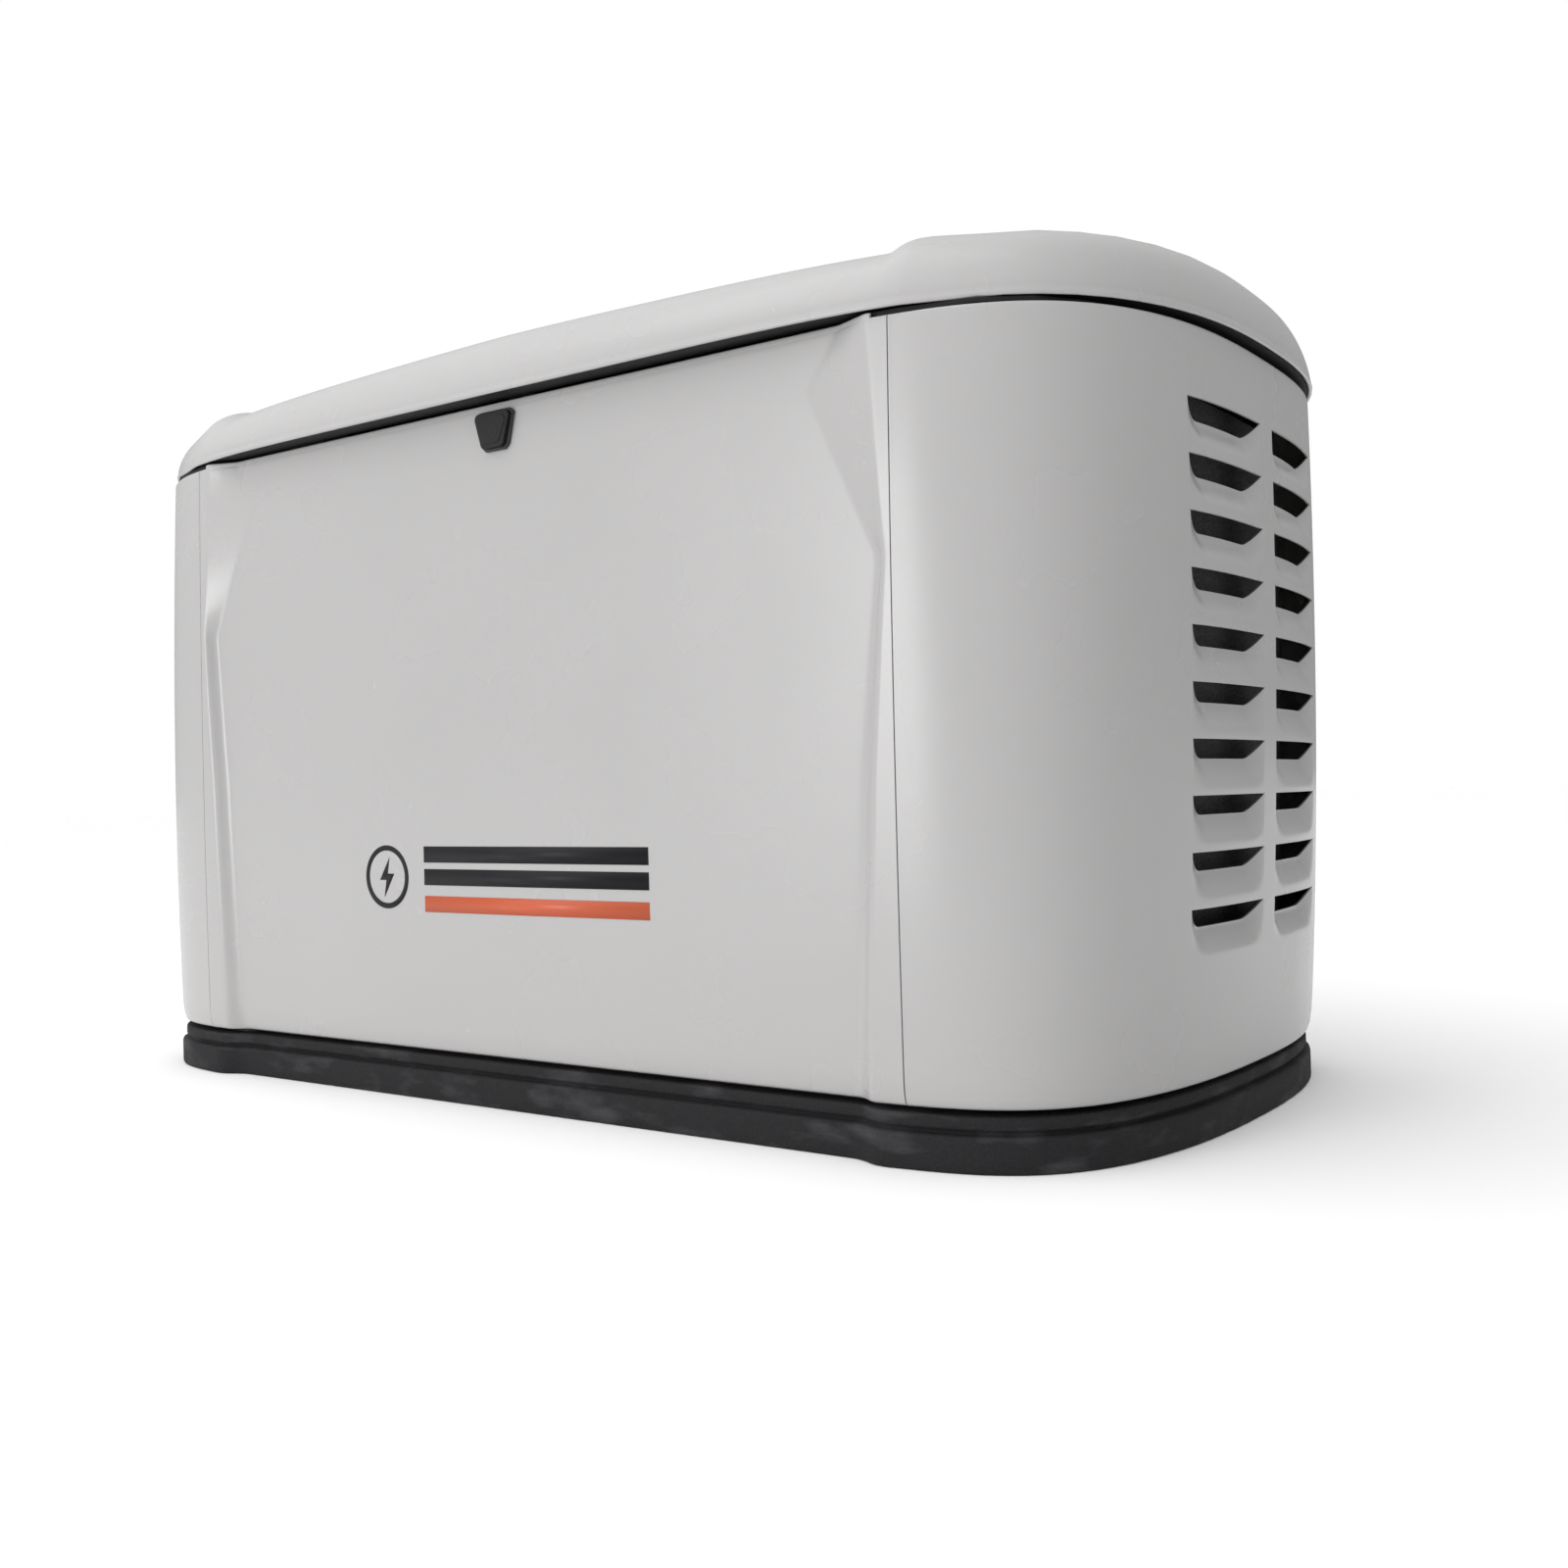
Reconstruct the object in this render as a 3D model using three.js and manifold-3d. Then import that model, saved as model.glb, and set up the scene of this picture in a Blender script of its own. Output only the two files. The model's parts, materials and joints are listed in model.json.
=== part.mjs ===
// Air-cooled home standby generator: enclosure, engine, alternator, exhaust, fuel and control parts.
// Millimetres. X runs along the length, the front faces -Y and +Z is up.
// The origin is under the pad's centre.
import * as THREE from 'three';
import Module from 'manifold-3d';
import { mergeVertices } from 'three/addons/utils/BufferGeometryUtils.js';
import { ConvexGeometry } from 'three/addons/geometries/ConvexGeometry.js';

const wasm = await Module();
wasm.setup();

// ---- driving dimensions ----
const GAP = 0.3;                 // clearance between pieces that meet
const RUNNING_GAP = 0.6;         // radial clearance round what turns or slides
const FINEST = 0.03;             // smallest feature that a boolean may leave

const BODY_LENGTH = 1173;
const BODY_DEPTH = 622;
const BODY_BOTTOM = 45.7;
const BODY_TOP = 630.5;
const BODY_END_POWER = 11;       // superellipse exponents of the body's plan
const BODY_SIDE_POWER = 2.4;

const ROOF_END_OVERHANG = 22.5;
const ROOF_SIDE_OVERHANG = 9;
const ROOF_LENGTH = BODY_LENGTH + 2 * ROOF_END_OVERHANG;
const ROOF_DEPTH = BODY_DEPTH + 2 * ROOF_SIDE_OVERHANG;
const ROOF_END_POWER = 6.5;      // superellipse exponents of the roof's plan
const ROOF_SIDE_POWER = 2.5;
const LIP_GAP = 5.5;
const LIP_Z = BODY_TOP + LIP_GAP; // underside of the roof's lip
const SKIRT_HEIGHT = 41.5;       // steep rounded edge of the roof
const CROWN_ACROSS = 25.3;
const CROWN_ALONG = 16.5;
const CAP_STEP = 10.5;           // raised end caps of the roof
const SEAM_X = 424;              // seams between the end panels and the front and rear panels
const CAP_FROM = SEAM_X - 8;
const CAP_RISE = 3;              // length of the step's slope
const ROOF_WALL = 3;
const ROOF_RIM = 22;             // inward flange at the roof's lip
const RIM_THICK = 2.5;
const LINER_THICK = 8;
const LINER_MARGIN = 58;

const END_BULGE = 8;             // how far the ends swell at mid-height
const SIDE_BULGE = 3;
const TUCK = 3;                  // how far the bottom edge turns in
const PANEL_WALL = 2.5;
const TOP_FLANGE = 12;
const BOTTOM_FLANGE = 13.5;
const FRONT_RECESS = 13;
const SEAM_GAP = 0.8;
const RETURN_DEPTH = 16;         // folded edges at the seams
// The recessed front's facets: height, then how far the inner and outer creases lie inside the seam.
const FACET = [[45.7, 42, 32], [300, 30, 19], [454, 15, 7], [586, 79, 15], [630.5, 50, 19]];
const CURVE_START = 5;           // where the rounded ends begin, outside the seam

const LOUVRE_ROWS = 10;
const LOUVRE_TOP = BODY_TOP - 56.5; // top edge of the highest louvre
const LOUVRE_PITCH = 43.5;
const LOUVRE_SLOT = 15;
const LOUVRE_INNER = 14;         // half width of the centre post
const LOUVRE_OUTER = 148;
const LOUVRE_DISH = 8;
const LOUVRE_TAPER = 24;

const PAD_LENGTH = BODY_LENGTH - 1;
const PAD_DEPTH = BODY_DEPTH + 6;
const PAD_HEIGHT = 41;
const PAD_STEP_HEIGHT = 27;
const PAD_GROOVE = 4;
const PAD_WAIST = 21;
const PAD_WAIST_X = SEAM_X - 24;

const TRAY_FLOOR = 3;
const TRAY_WALL_TOP = 80;
const TRAY_INSET = BOTTOM_FLANGE + GAP;

const HINGE_X = 260;
const HINGE_Y = ROOF_DEPTH / 2 + 2.2;
const HINGE_Z = LIP_Z - 6;
const KNUCKLE_R = 5.5;
const HINGE_PIN_R = 2.5;
const HINGE_LENGTH = 64;

const LOCK_X = 8;
const LOCK_Z = 606;
const LOCK_R = 8;
const LOCK_TAIL_R = 5;
const CAM_LENGTH = 18;
const CAM_WIDTH = 8;
const COVER_TOP = 42;            // lock cover: width at the top, width at the bottom, height
const COVER_BOTTOM = 28;
const COVER_HEIGHT = 32;
const COVER_Z = 592;
const COVER_THICK = 4;

const CRANK_Y = 20;
const CRANK_Z = 230;
const CRANK_R = 18;
const CRANKCASE_X = [-150, 90];
const CRANKCASE_APOTHEM = 95;
const SUMP_DROP = 100;
const CRADLE_TOP = 96;
const CRADLE_RAIL_Y = 80;        // rails on each side of the crank
const RAIL = 24;
const ISOLATOR_R = 20;
const CYLINDER_TILT = 45;
const CYLINDER_X = [-65, 15];    // front and rear cylinder
const FIN_COUNT = 8;
const FIN_PITCH = 13;
const FIN_THICK = 3.5;
const FIN_WIDTH = 98;
const BARREL_WIDTH = 66;
const HEAD_HEIGHT = 34;
const VALVE_COVER_HEIGHT = 26;

const FAN_X = [102, 146];
const FAN_R = 94;
const BLOWER_R = 116;
const STATOR_X = [-400, -150.5];
const STATOR_R = 118;
const STATOR_BORE = 86;
const ROTOR_R = 82;
const DIVIDER_X = 215;
const MUFFLER_X = [245, 470];
const MUFFLER_R = 88;
const MUFFLER_Y = 10;
const MUFFLER_Z = 205;
const PIPE_R = 17;

const BATTERY = [206, 172, 196];
const BATTERY_X = -366;
const BATTERY_Y = -190;
const CONTROL_BOX = [296, 158, 214];
const CONTROL_X = -324;
const CONTROL_Y = -203;
const CONTROL_TOP = 600;
const DECK_THICK = 4;
const BUTTON_R = 9;

const DIPSTICK_R = 2.4;
const DIPSTICK_TUBE_R = 7;
const MIXER_X = -25;
const MIXER_R = 27;
const MANIFOLD_Z = CRANK_Z + 195;
const RUNNER_R = 15;
const AIR_BOX = { x: [-130, 70], y: [-70, 110], z: [470, 556], lid: 26 };
const STARTER_X = [-50, 88];
const STARTER_AT = [CRANK_Y - 132, CRANK_Z - 66];
const STARTER_R = 31;
const OIL_FILTER_X = -92;
const FUEL_X = -60;
const FUEL_Z = 150;
const FUEL_PIPE_R = 12;
const FUEL_HOSE_R = 9;
const CABLE_R = 5.5;
const REGULATOR = { x: [-110, -14], y: [196, 262], z: [112, 200] };
const FLOOR_Z = PAD_HEIGHT + 2 * GAP + TRAY_FLOOR;   // where pieces stand on the base tray

// ---- solids ----
// A closed manifold solid from a three.js geometry.
function solid(geometry) {
  const bare = geometry.clone();
  bare.deleteAttribute('normal');
  bare.deleteAttribute('uv');
  const merged = mergeVertices(bare, 1e-4);
  return new wasm.Manifold(new wasm.Mesh({
    numProp: 3,
    vertProperties: new Float32Array(merged.attributes.position.array),
    triVerts: new Uint32Array(merged.index.array),
  }));
}

// The three.js geometry of a manifold solid, without slivers thinner than FINEST.
function geometryOf(shape) {
  const mesh = shape.asOriginal().simplify(FINEST).getMesh();
  const geometry = new THREE.BufferGeometry();
  geometry.setAttribute('position', new THREE.BufferAttribute(new Float32Array(mesh.vertProperties), 3));
  geometry.setIndex(new THREE.BufferAttribute(new Uint32Array(mesh.triVerts), 1));
  return geometry;
}

function join(...shapes) {
  return shapes.reduce((sum, shape) => sum.add(shape));
}

function cut(shape, ...tools) {
  return tools.reduce((rest, tool) => rest.subtract(tool), shape);
}

// A block between two opposite corners.
function block(low, high) {
  const size = high.map((value, i) => value - low[i]);
  const geometry = new THREE.BoxGeometry(...size);
  geometry.translate(low[0] + size[0] / 2, low[1] + size[1] / 2, low[2] + size[2] / 2);
  return solid(geometry);
}

// A round bar along 'x', 'y' or 'z' from one position to another, centred on the other two coordinates.
function bar(axis, radius, from, to, centre, sides = 20) {
  const geometry = new THREE.CylinderGeometry(radius, radius, to - from, sides);
  const middle = (from + to) / 2;
  if (axis === 'x') {
    geometry.rotateZ(-Math.PI / 2);
    geometry.translate(middle, centre[0], centre[1]);
  } else if (axis === 'y') {
    geometry.translate(centre[0], middle, centre[1]);
  } else {
    geometry.rotateX(Math.PI / 2);
    geometry.translate(centre[0], centre[1], middle);
  }
  return solid(geometry);
}

// A turned piece: profile points are [radius, position along the axis].
function turned(profile, sides = 24) {
  const points = profile.map(([r, h]) => new THREE.Vector2(r, h));
  return new THREE.LatheGeometry(points, sides);
}

// A turned piece whose axis lies along X through the crank's height and depth.
function turnedOnCrank(profile, sides = 24) {
  const geometry = turned(profile, sides);
  geometry.rotateZ(-Math.PI / 2);
  geometry.translate(0, CRANK_Y, CRANK_Z);
  return solid(geometry);
}

// A plate with the outline given in X and Z, from one Y to another.
function plateXZ(outline, fromY, toY) {
  const shape = new THREE.Shape(outline.map(([x, z]) => new THREE.Vector2(x, z)));
  const geometry = new THREE.ExtrudeGeometry(shape, { depth: toY - fromY, bevelEnabled: false });
  geometry.rotateX(Math.PI / 2);
  geometry.translate(0, toY, 0);
  return solid(geometry);
}

// A bar with the outline given in Y and Z, from one X to another.
function barYZ(outline, fromX, toX) {
  const shape = new THREE.Shape(outline.map(([y, z]) => new THREE.Vector2(y, z)));
  const geometry = new THREE.ExtrudeGeometry(shape, { depth: toX - fromX, bevelEnabled: false });
  const turn = new THREE.Matrix4().makeBasis(
    new THREE.Vector3(0, 1, 0), new THREE.Vector3(0, 0, 1), new THREE.Vector3(1, 0, 0));
  geometry.applyMatrix4(turn);
  geometry.translate(fromX, 0, 0);
  return solid(geometry);
}

// A round tube or rod along a smooth path.
function alongPath(points, radius, steps, sides = 12) {
  const path = new THREE.CatmullRomCurve3(points.map((p) => new THREE.Vector3(...p)), false, 'centripetal');
  const ring = new THREE.Shape();
  for (let i = 0; i < sides; i += 1) {
    const angle = (i / sides) * 2 * Math.PI;
    const x = radius * Math.cos(angle);
    const y = radius * Math.sin(angle);
    if (i === 0) ring.moveTo(x, y);
    else ring.lineTo(x, y);
  }
  ring.closePath();
  return solid(new THREE.ExtrudeGeometry(ring, { steps, extrudePath: path, bevelEnabled: false }));
}

// A closed solid through rings of points that all have the same count, capped at both ends.
function loft(rings) {
  const count = rings[0].length;
  const positions = rings.flat(2);
  const faces = [];
  for (let r = 0; r + 1 < rings.length; r += 1) {
    for (let i = 0; i < count; i += 1) {
      const a = r * count + i;
      const b = r * count + ((i + 1) % count);
      faces.push(a, b, b + count, a, b + count, a + count);
    }
  }
  const first = THREE.ShapeUtils.triangulateShape(rings[0].map(([x, y]) => new THREE.Vector2(x, y)), []);
  const last = (rings.length - 1) * count;
  first.forEach(([a, b, c]) => faces.push(a, c, b));
  first.forEach(([a, b, c]) => faces.push(last + a, last + b, last + c));
  const geometry = new THREE.BufferGeometry();
  geometry.setAttribute('position', new THREE.Float32BufferAttribute(positions, 3));
  geometry.setIndex(faces);
  return solid(geometry);
}

// ---- plan outlines ----
// The angle round a superellipse, from its tip, where it reaches a given X.
function angleAt(startX, a, p) {
  return Math.acos((startX / a) ** (p / 2));
}

// Half of a superellipse's end, from its side round to its tip and back, as [x, y] with x positive.
function endCurve(a, b, p, q, steps, startX) {
  const points = [];
  for (let i = -steps; i <= steps; i += 1) {
    const angle = (angleAt(startX, a, p) * i) / steps;
    const x = a * Math.cos(angle) ** (2 / p);
    const y = b * Math.sign(angle) * Math.abs(Math.sin(angle)) ** (2 / q);
    points.push([x, y]);
  }
  return points;
}

function facetAt(z) {
  const last = FACET.length - 1;
  const level = Math.min(Math.max(z, FACET[0][0]), FACET[last][0]);
  const i = Math.min(FACET.findIndex((row, k) => k === last || FACET[k + 1][0] >= level), last - 1);
  const share = (level - FACET[i][0]) / (FACET[i + 1][0] - FACET[i][0]);
  return [1, 2].map((column) => SEAM_X - THREE.MathUtils.lerp(FACET[i][column], FACET[i + 1][column], share));
}

// How far the body swells at a height, from 0 at its edges to 1 in the middle.
function swell(z) {
  const middle = (BODY_BOTTOM + BODY_TOP) / 2;
  return Math.max(0, 1 - ((z - middle) / (BODY_TOP - middle)) ** 2);
}

function tuckAt(z) {
  const depth = 16;
  const drop = Math.max(0, 1 - (z - BODY_BOTTOM) / depth);
  return TUCK * drop ** 2;
}

function bodyHalf(z, inset = 0) {
  return {
    a: BODY_LENGTH / 2 + END_BULGE * swell(z) - tuckAt(z) - inset,
    b: BODY_DEPTH / 2 + SIDE_BULGE * swell(z) - tuckAt(z) - inset,
  };
}

// The recessed front face's Y at a height.
function frontFaceY(z) {
  return -(bodyHalf(z).b - FRONT_RECESS);
}

// The straight rear face's Y at a height.
function rearFaceY(z) {
  const { a, b } = bodyHalf(z);
  return b * Math.sin(angleAt(SEAM_X + CURVE_START, a, BODY_END_POWER)) ** (2 / BODY_SIDE_POWER);
}

// The body's outline at a height, anticlockwise, with its recessed front.
function bodyOutline(z, inset) {
  const { a, b } = bodyHalf(z, inset);
  const [inner, outer] = facetAt(z);
  const right = endCurve(a, b, BODY_END_POWER, BODY_SIDE_POWER, 7, SEAM_X + CURVE_START);
  const left = right.map(([x, y]) => [-x, -y]);
  const proud = -b * (1 - (outer / a) ** BODY_END_POWER) ** (1 / BODY_SIDE_POWER);
  const recessed = -(b - FRONT_RECESS);
  const shrink = inset * 0.4;
  return [[-inner + shrink, recessed], [inner - shrink, recessed], [outer - shrink, proud], ...right, ...left,
    [-outer + shrink, proud]];
}

const BODY_LEVELS = [BODY_BOTTOM + 12, 200, 300, 454, 586];

function bodyLoft(inset, fromZ, toZ) {
  const levels = [fromZ, ...BODY_LEVELS.filter((z) => z > fromZ && z < toZ), toZ];
  return loft(levels.map((z) => bodyOutline(z, inset).map(([x, y]) => [x, y, z])));
}

// ---- roof surface ----
function roofEdge(rho) {
  return Math.max(0, 1 - rho ** 25) ** 0.7;
}

function roofHeight(x, y, inset) {
  const a = ROOF_LENGTH / 2 - inset;
  const b = ROOF_DEPTH / 2 - inset;
  const rho = Math.min(1, Math.abs(x / a) ** ROOF_END_POWER + Math.abs(y / b) ** ROOF_SIDE_POWER);
  const crown = CROWN_ALONG * (1 - Math.abs(x / a) ** 1.08) + CROWN_ACROSS * (1 - (y / b) ** 2);
  const cap = Math.abs(x) > CAP_FROM + CAP_RISE / 2 ? CAP_STEP : 0;
  return (SKIRT_HEIGHT + crown + cap) * roofEdge(rho);
}

// The solid under the roof's surface, down to a flat underside.
function roofSolid(inset) {
  const a = ROOF_LENGTH / 2 - inset;
  const b = ROOF_DEPTH / 2 - inset;
  const across = [0, 0.45, 0.75, 0.9, 0.965, 1];
  const shares = [...across.slice(1).reverse().map((t) => -t), ...across];
  const endShares = [0.8, 0.88, 0.935, 0.965, 0.985, 0.996, 0.9998];
  const half = [180, CAP_FROM, CAP_FROM + CAP_RISE, ...endShares.map((t) => t * a)];
  const stations = [...half.slice().reverse().map((x) => -x), ...half];
  const rings = stations.map((x) => {
    const width = b * (1 - Math.abs(x / a) ** ROOF_END_POWER) ** (1 / ROOF_SIDE_POWER);
    const foot = LIP_Z - inset;
    const top = shares.map((t) => [x, t * width, foot + Math.max(0.02, roofHeight(x, t * width, inset))]);
    const bottom = [[x, width, foot], [x, -width, foot]];
    return [...bottom, ...top].map(([px, py, pz]) => [py, pz, px]);
  });
  const shape = loft(rings.map((ring) => ring.slice().reverse()));
  return shape.transform([0, 1, 0, 0, 0, 0, 1, 0, 1, 0, 0, 0, 0, 0, 0, 1]);
}

// ---- materials ----
function finish(color, roughness, metalness) {
  return new THREE.MeshStandardMaterial({ color, roughness, metalness });
}
const paint = finish(0xc5c4c5, 0.38, 0.1);
const composite = finish(0x3c3c3f, 0.85, 0);
const rubber = finish(0x242427, 0.75, 0);
const foam = finish(0x2e2e30, 0.95, 0);
const castAlloy = finish(0x9a9c9e, 0.5, 0.85);
const steel = finish(0xaaacae, 0.3, 1);
const zinc = finish(0xb6b7b3, 0.4, 0.9);
const blackPaint = finish(0x1f2022, 0.45, 0.1);
const blackPlastic = finish(0x1b1c1e, 0.55, 0);
const copperRed = finish(0x7c2b1c, 0.5, 0.2);
const yellowPlastic = finish(0xd9a521, 0.5, 0);
const exhaustSteel = finish(0x8d857c, 0.45, 0.9);
const redPlastic = finish(0xa8231c, 0.5, 0);
const greenPlastic = finish(0x2c7a3d, 0.5, 0);
const filterPaint = finish(0x2b3540, 0.35, 0.2);

function group(...children) {
  const made = new THREE.Group();
  made.add(...children);
  return made;
}

function piece(name, shape, material) {
  const mesh = new THREE.Mesh(geometryOf(shape), material);
  mesh.name = name;
  return mesh;
}

function placed(mesh, x, y, z) {
  mesh.position.set(x, y, z);
  return mesh;
}

// ---- base ----
function padOutline(inset) {
  const a = PAD_LENGTH / 2 - inset;
  const b = PAD_DEPTH / 2 - inset;
  const side = b - FRONT_RECESS;
  const right = endCurve(a, b, BODY_END_POWER, BODY_SIDE_POWER, 6, SEAM_X + CURVE_START);
  const waist = PAD_WAIST_X - PAD_WAIST;
  const quarter = [[waist, side], [PAD_WAIST_X, b - 1]];
  const lower = quarter.map(([x, y]) => [x, -y]);
  const upper = quarter.slice().reverse();
  const half = [...lower, ...right, ...upper];
  return [...half, ...half.map(([x, y]) => [-x, -y])];
}

function padTier(inset, fromZ, toZ) {
  return loft([fromZ, toZ].map((z) => padOutline(inset).map(([x, y]) => [x, y, z])));
}

function makeBase() {
  const lower = padTier(0, 0, PAD_STEP_HEIGHT);
  const neck = padTier(PAD_GROOVE + 4, PAD_STEP_HEIGHT - 1, PAD_STEP_HEIGHT + 5);
  const upper = padTier(PAD_GROOVE, PAD_STEP_HEIGHT + 4, PAD_HEIGHT);
  const pad = piece('base_pad', join(lower, neck, upper), composite);
  const bottom = PAD_HEIGHT + GAP;
  const floor = bodyLoft(TRAY_INSET, bottom, TRAY_WALL_TOP);
  const hollow = bodyLoft(TRAY_INSET + TRAY_FLOOR, bottom + TRAY_FLOOR, TRAY_WALL_TOP + 1);
  return group(pad, piece('base_tray', cut(floor, hollow), blackPaint));
}

// ---- enclosure panels ----
// The whole enclosure wall with its inward flanges, before it is divided into panels.
function bodyShell() {
  const outer = bodyLoft(0, BODY_BOTTOM, BODY_TOP);
  const hollow = bodyLoft(PANEL_WALL, BODY_BOTTOM + PANEL_WALL, BODY_TOP - PANEL_WALL);
  const mouth = bodyLoft(TOP_FLANGE, BODY_TOP - 2 * PANEL_WALL, BODY_TOP + 1);
  const base = bodyLoft(BOTTOM_FLANGE, BODY_BOTTOM - 1, BODY_BOTTOM + 2 * PANEL_WALL);
  return cut(outer, hollow, mouth, base);
}

// The end panel's X on its outer face at a depth and height.
function endFaceX(y, z) {
  const { a, b } = bodyHalf(z);
  return a * (1 - Math.abs(y / b) ** BODY_SIDE_POWER) ** (1 / BODY_END_POWER);
}

// One louvre: a slot through the wall and a dished pane below it. The side and column are -1 or 1.
function louvreTools(side, column, top) {
  const slotBottom = top - LOUVRE_SLOT;
  const foot = top - LOUVRE_PITCH + 5;
  const near = LOUVRE_INNER + LOUVRE_TAPER;
  const far = LOUVRE_OUTER - LOUVRE_TAPER;
  const middle = (near + far) / 2;
  const hull = (points) => solid(new ConvexGeometry(points));
  const row = (halfGrowth, z, depth) => [near - halfGrowth, middle, far + halfGrowth].map(
    (y) => new THREE.Vector3(side * (endFaceX(y, z) - depth), column * y, z));
  const slot = hull([-12, 30].flatMap((depth) => [
    ...row(LOUVRE_TAPER, top, depth), ...row(0, slotBottom, depth)]));
  const wedge = (growth, rim, depth, head) => hull([
    ...row(growth, head, rim), ...row(growth - 3, head, depth), ...row(growth, foot - growth, rim)]);
  const dish = wedge(0, -4, LOUVRE_DISH, slotBottom + 3);
  const backing = wedge(3, 1, LOUVRE_DISH + PANEL_WALL, slotBottom + 1);
  return { slot, dish, backing };
}

function endPanel(side, shell) {
  const reach = BODY_LENGTH;
  const seam = SEAM_X + SEAM_GAP / 2;
  const [low, high] = side < 0 ? [-reach, -seam] : [seam, reach];
  let panel = shell.intersect(block([low, -reach, 0], [high, reach, LIP_Z]));
  const outside = bodyLoft(0.2, BODY_BOTTOM, BODY_TOP);
  for (const depthSign of [-1, 1]) {
    const [x0, x1] = side < 0 ? [-seam - PANEL_WALL, -seam] : [seam, seam + PANEL_WALL];
    const depth = BODY_DEPTH / 2 + SIDE_BULGE;
    const [y0, y1] = depthSign < 0 ? [-depth, -depth + RETURN_DEPTH] : [depth - RETURN_DEPTH, depth];
    const fold = block([x0, y0, BODY_BOTTOM + 1], [x1, y1, BODY_TOP - 1]).intersect(outside);
    panel = panel.add(fold);
  }
  for (let row = 0; row < LOUVRE_ROWS; row += 1) {
    for (const column of [-1, 1]) {
      const { slot, dish, backing } = louvreTools(side, column, LOUVRE_TOP - row * LOUVRE_PITCH);
      panel = panel.add(backing).subtract(dish).subtract(slot);
    }
  }
  return panel;
}

function makeEnclosure() {
  const shell = bodyShell();
  const reach = BODY_LENGTH;
  const seam = SEAM_X - SEAM_GAP / 2;
  const left = piece('left_end_panel', endPanel(-1, shell), paint);
  const right = piece('right_end_panel', endPanel(1, shell), paint);

  const lockHole = bar('y', LOCK_R + 3.2, -BODY_DEPTH, -BODY_DEPTH / 2 + 60, [LOCK_X, LOCK_Z]);
  const frontHalf = block([-seam, -reach, 0], [seam, 0, LIP_Z]);
  const front = piece('front_panel', shell.intersect(frontHalf).subtract(lockHole), paint);

  const rearHalf = block([-seam, 0, 0], [seam, reach, LIP_Z]);
  const rearY = [BODY_DEPTH / 2 - 30, BODY_DEPTH / 2 + 20];
  let rearShape = shell.intersect(rearHalf);
  for (let row = 0; row < 6; row += 1) {
    for (const x of [-330, -210]) {
      const z = 180 + row * LOUVRE_PITCH;
      rearShape = rearShape.subtract(block([x, rearY[0], z], [x + 100, rearY[1], z + 12]));
    }
  }
  const inletHole = bar('y', FUEL_PIPE_R + 4, ...rearY, [FUEL_X, FUEL_Z]);
  const rear = piece('rear_panel', rearShape.subtract(inletHole), paint);

  const sealOuter = bodyLoft(4, BODY_TOP + GAP, BODY_TOP + 4.7);
  const sealInner = bodyLoft(12, BODY_TOP, BODY_TOP + 6);
  const seal = piece('roof_seal', cut(sealOuter, sealInner), rubber);

  const divider = cut(
    block([DIVIDER_X, -BODY_DEPTH / 2 + 35, TRAY_WALL_TOP + 4],
      [DIVIDER_X + 3, BODY_DEPTH / 2 - 23, BODY_TOP - 12]),
    bar('x', 70, DIVIDER_X - 5, DIVIDER_X + 8, [CRANK_Y, CRANK_Z - 60]),
    ...PIPE_ROUTES.map((route) => alongPath(route, PIPE_R + 5, 14, 10)),
  );
  return group(left, right, front, rear, seal, piece('divider_panel', divider, zinc));
}

// ---- roof, hinges and lock ----
function makeRoof() {
  const outer = roofSolid(0);
  const hollow = roofSolid(ROOF_WALL);
  const mouth = loft([LIP_Z - 5, LIP_Z + 8].map((z) => roofOutline(ROOF_RIM).map(([x, y]) => [x, y, z])));
  const reach = ROOF_LENGTH;
  const raised = hollow.intersect(block([-reach, -reach, LIP_Z + RIM_THICK], [reach, reach, LIP_Z + reach]));
  const roof = piece('roof', cut(outer, raised, mouth), paint);

  const linerTop = roofSolid(ROOF_WALL + 1).translate([0, 0, -1]);
  const linerCut = roofSolid(ROOF_WALL + 1).translate([0, 0, -1 - LINER_THICK]);
  const halfField = ROOF_DEPTH / 2 - LINER_MARGIN;
  const field = block([-CAP_FROM + 12, -halfField, LIP_Z + 12], [CAP_FROM - 12, halfField, LIP_Z + reach]);
  const liner = piece('roof_liner', cut(linerTop.intersect(field), linerCut), foam);
  return group(roof, liner);
}

// The roof's plan outline, inset.
function roofOutline(inset) {
  const a = ROOF_LENGTH / 2 - inset;
  const b = ROOF_DEPTH / 2 - inset;
  const right = endCurve(a, b, ROOF_END_POWER, ROOF_SIDE_POWER, 9, SEAM_X);
  return [...right, ...right.map(([x, y]) => [-x, -y])];
}

function knuckle(from, to) {
  const bore = bar('x', HINGE_PIN_R + GAP, from - 1, to + 1, [0, 0], 12);
  return cut(bar('x', KNUCKLE_R, from, to, [0, 0], 12), bore);
}

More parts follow.
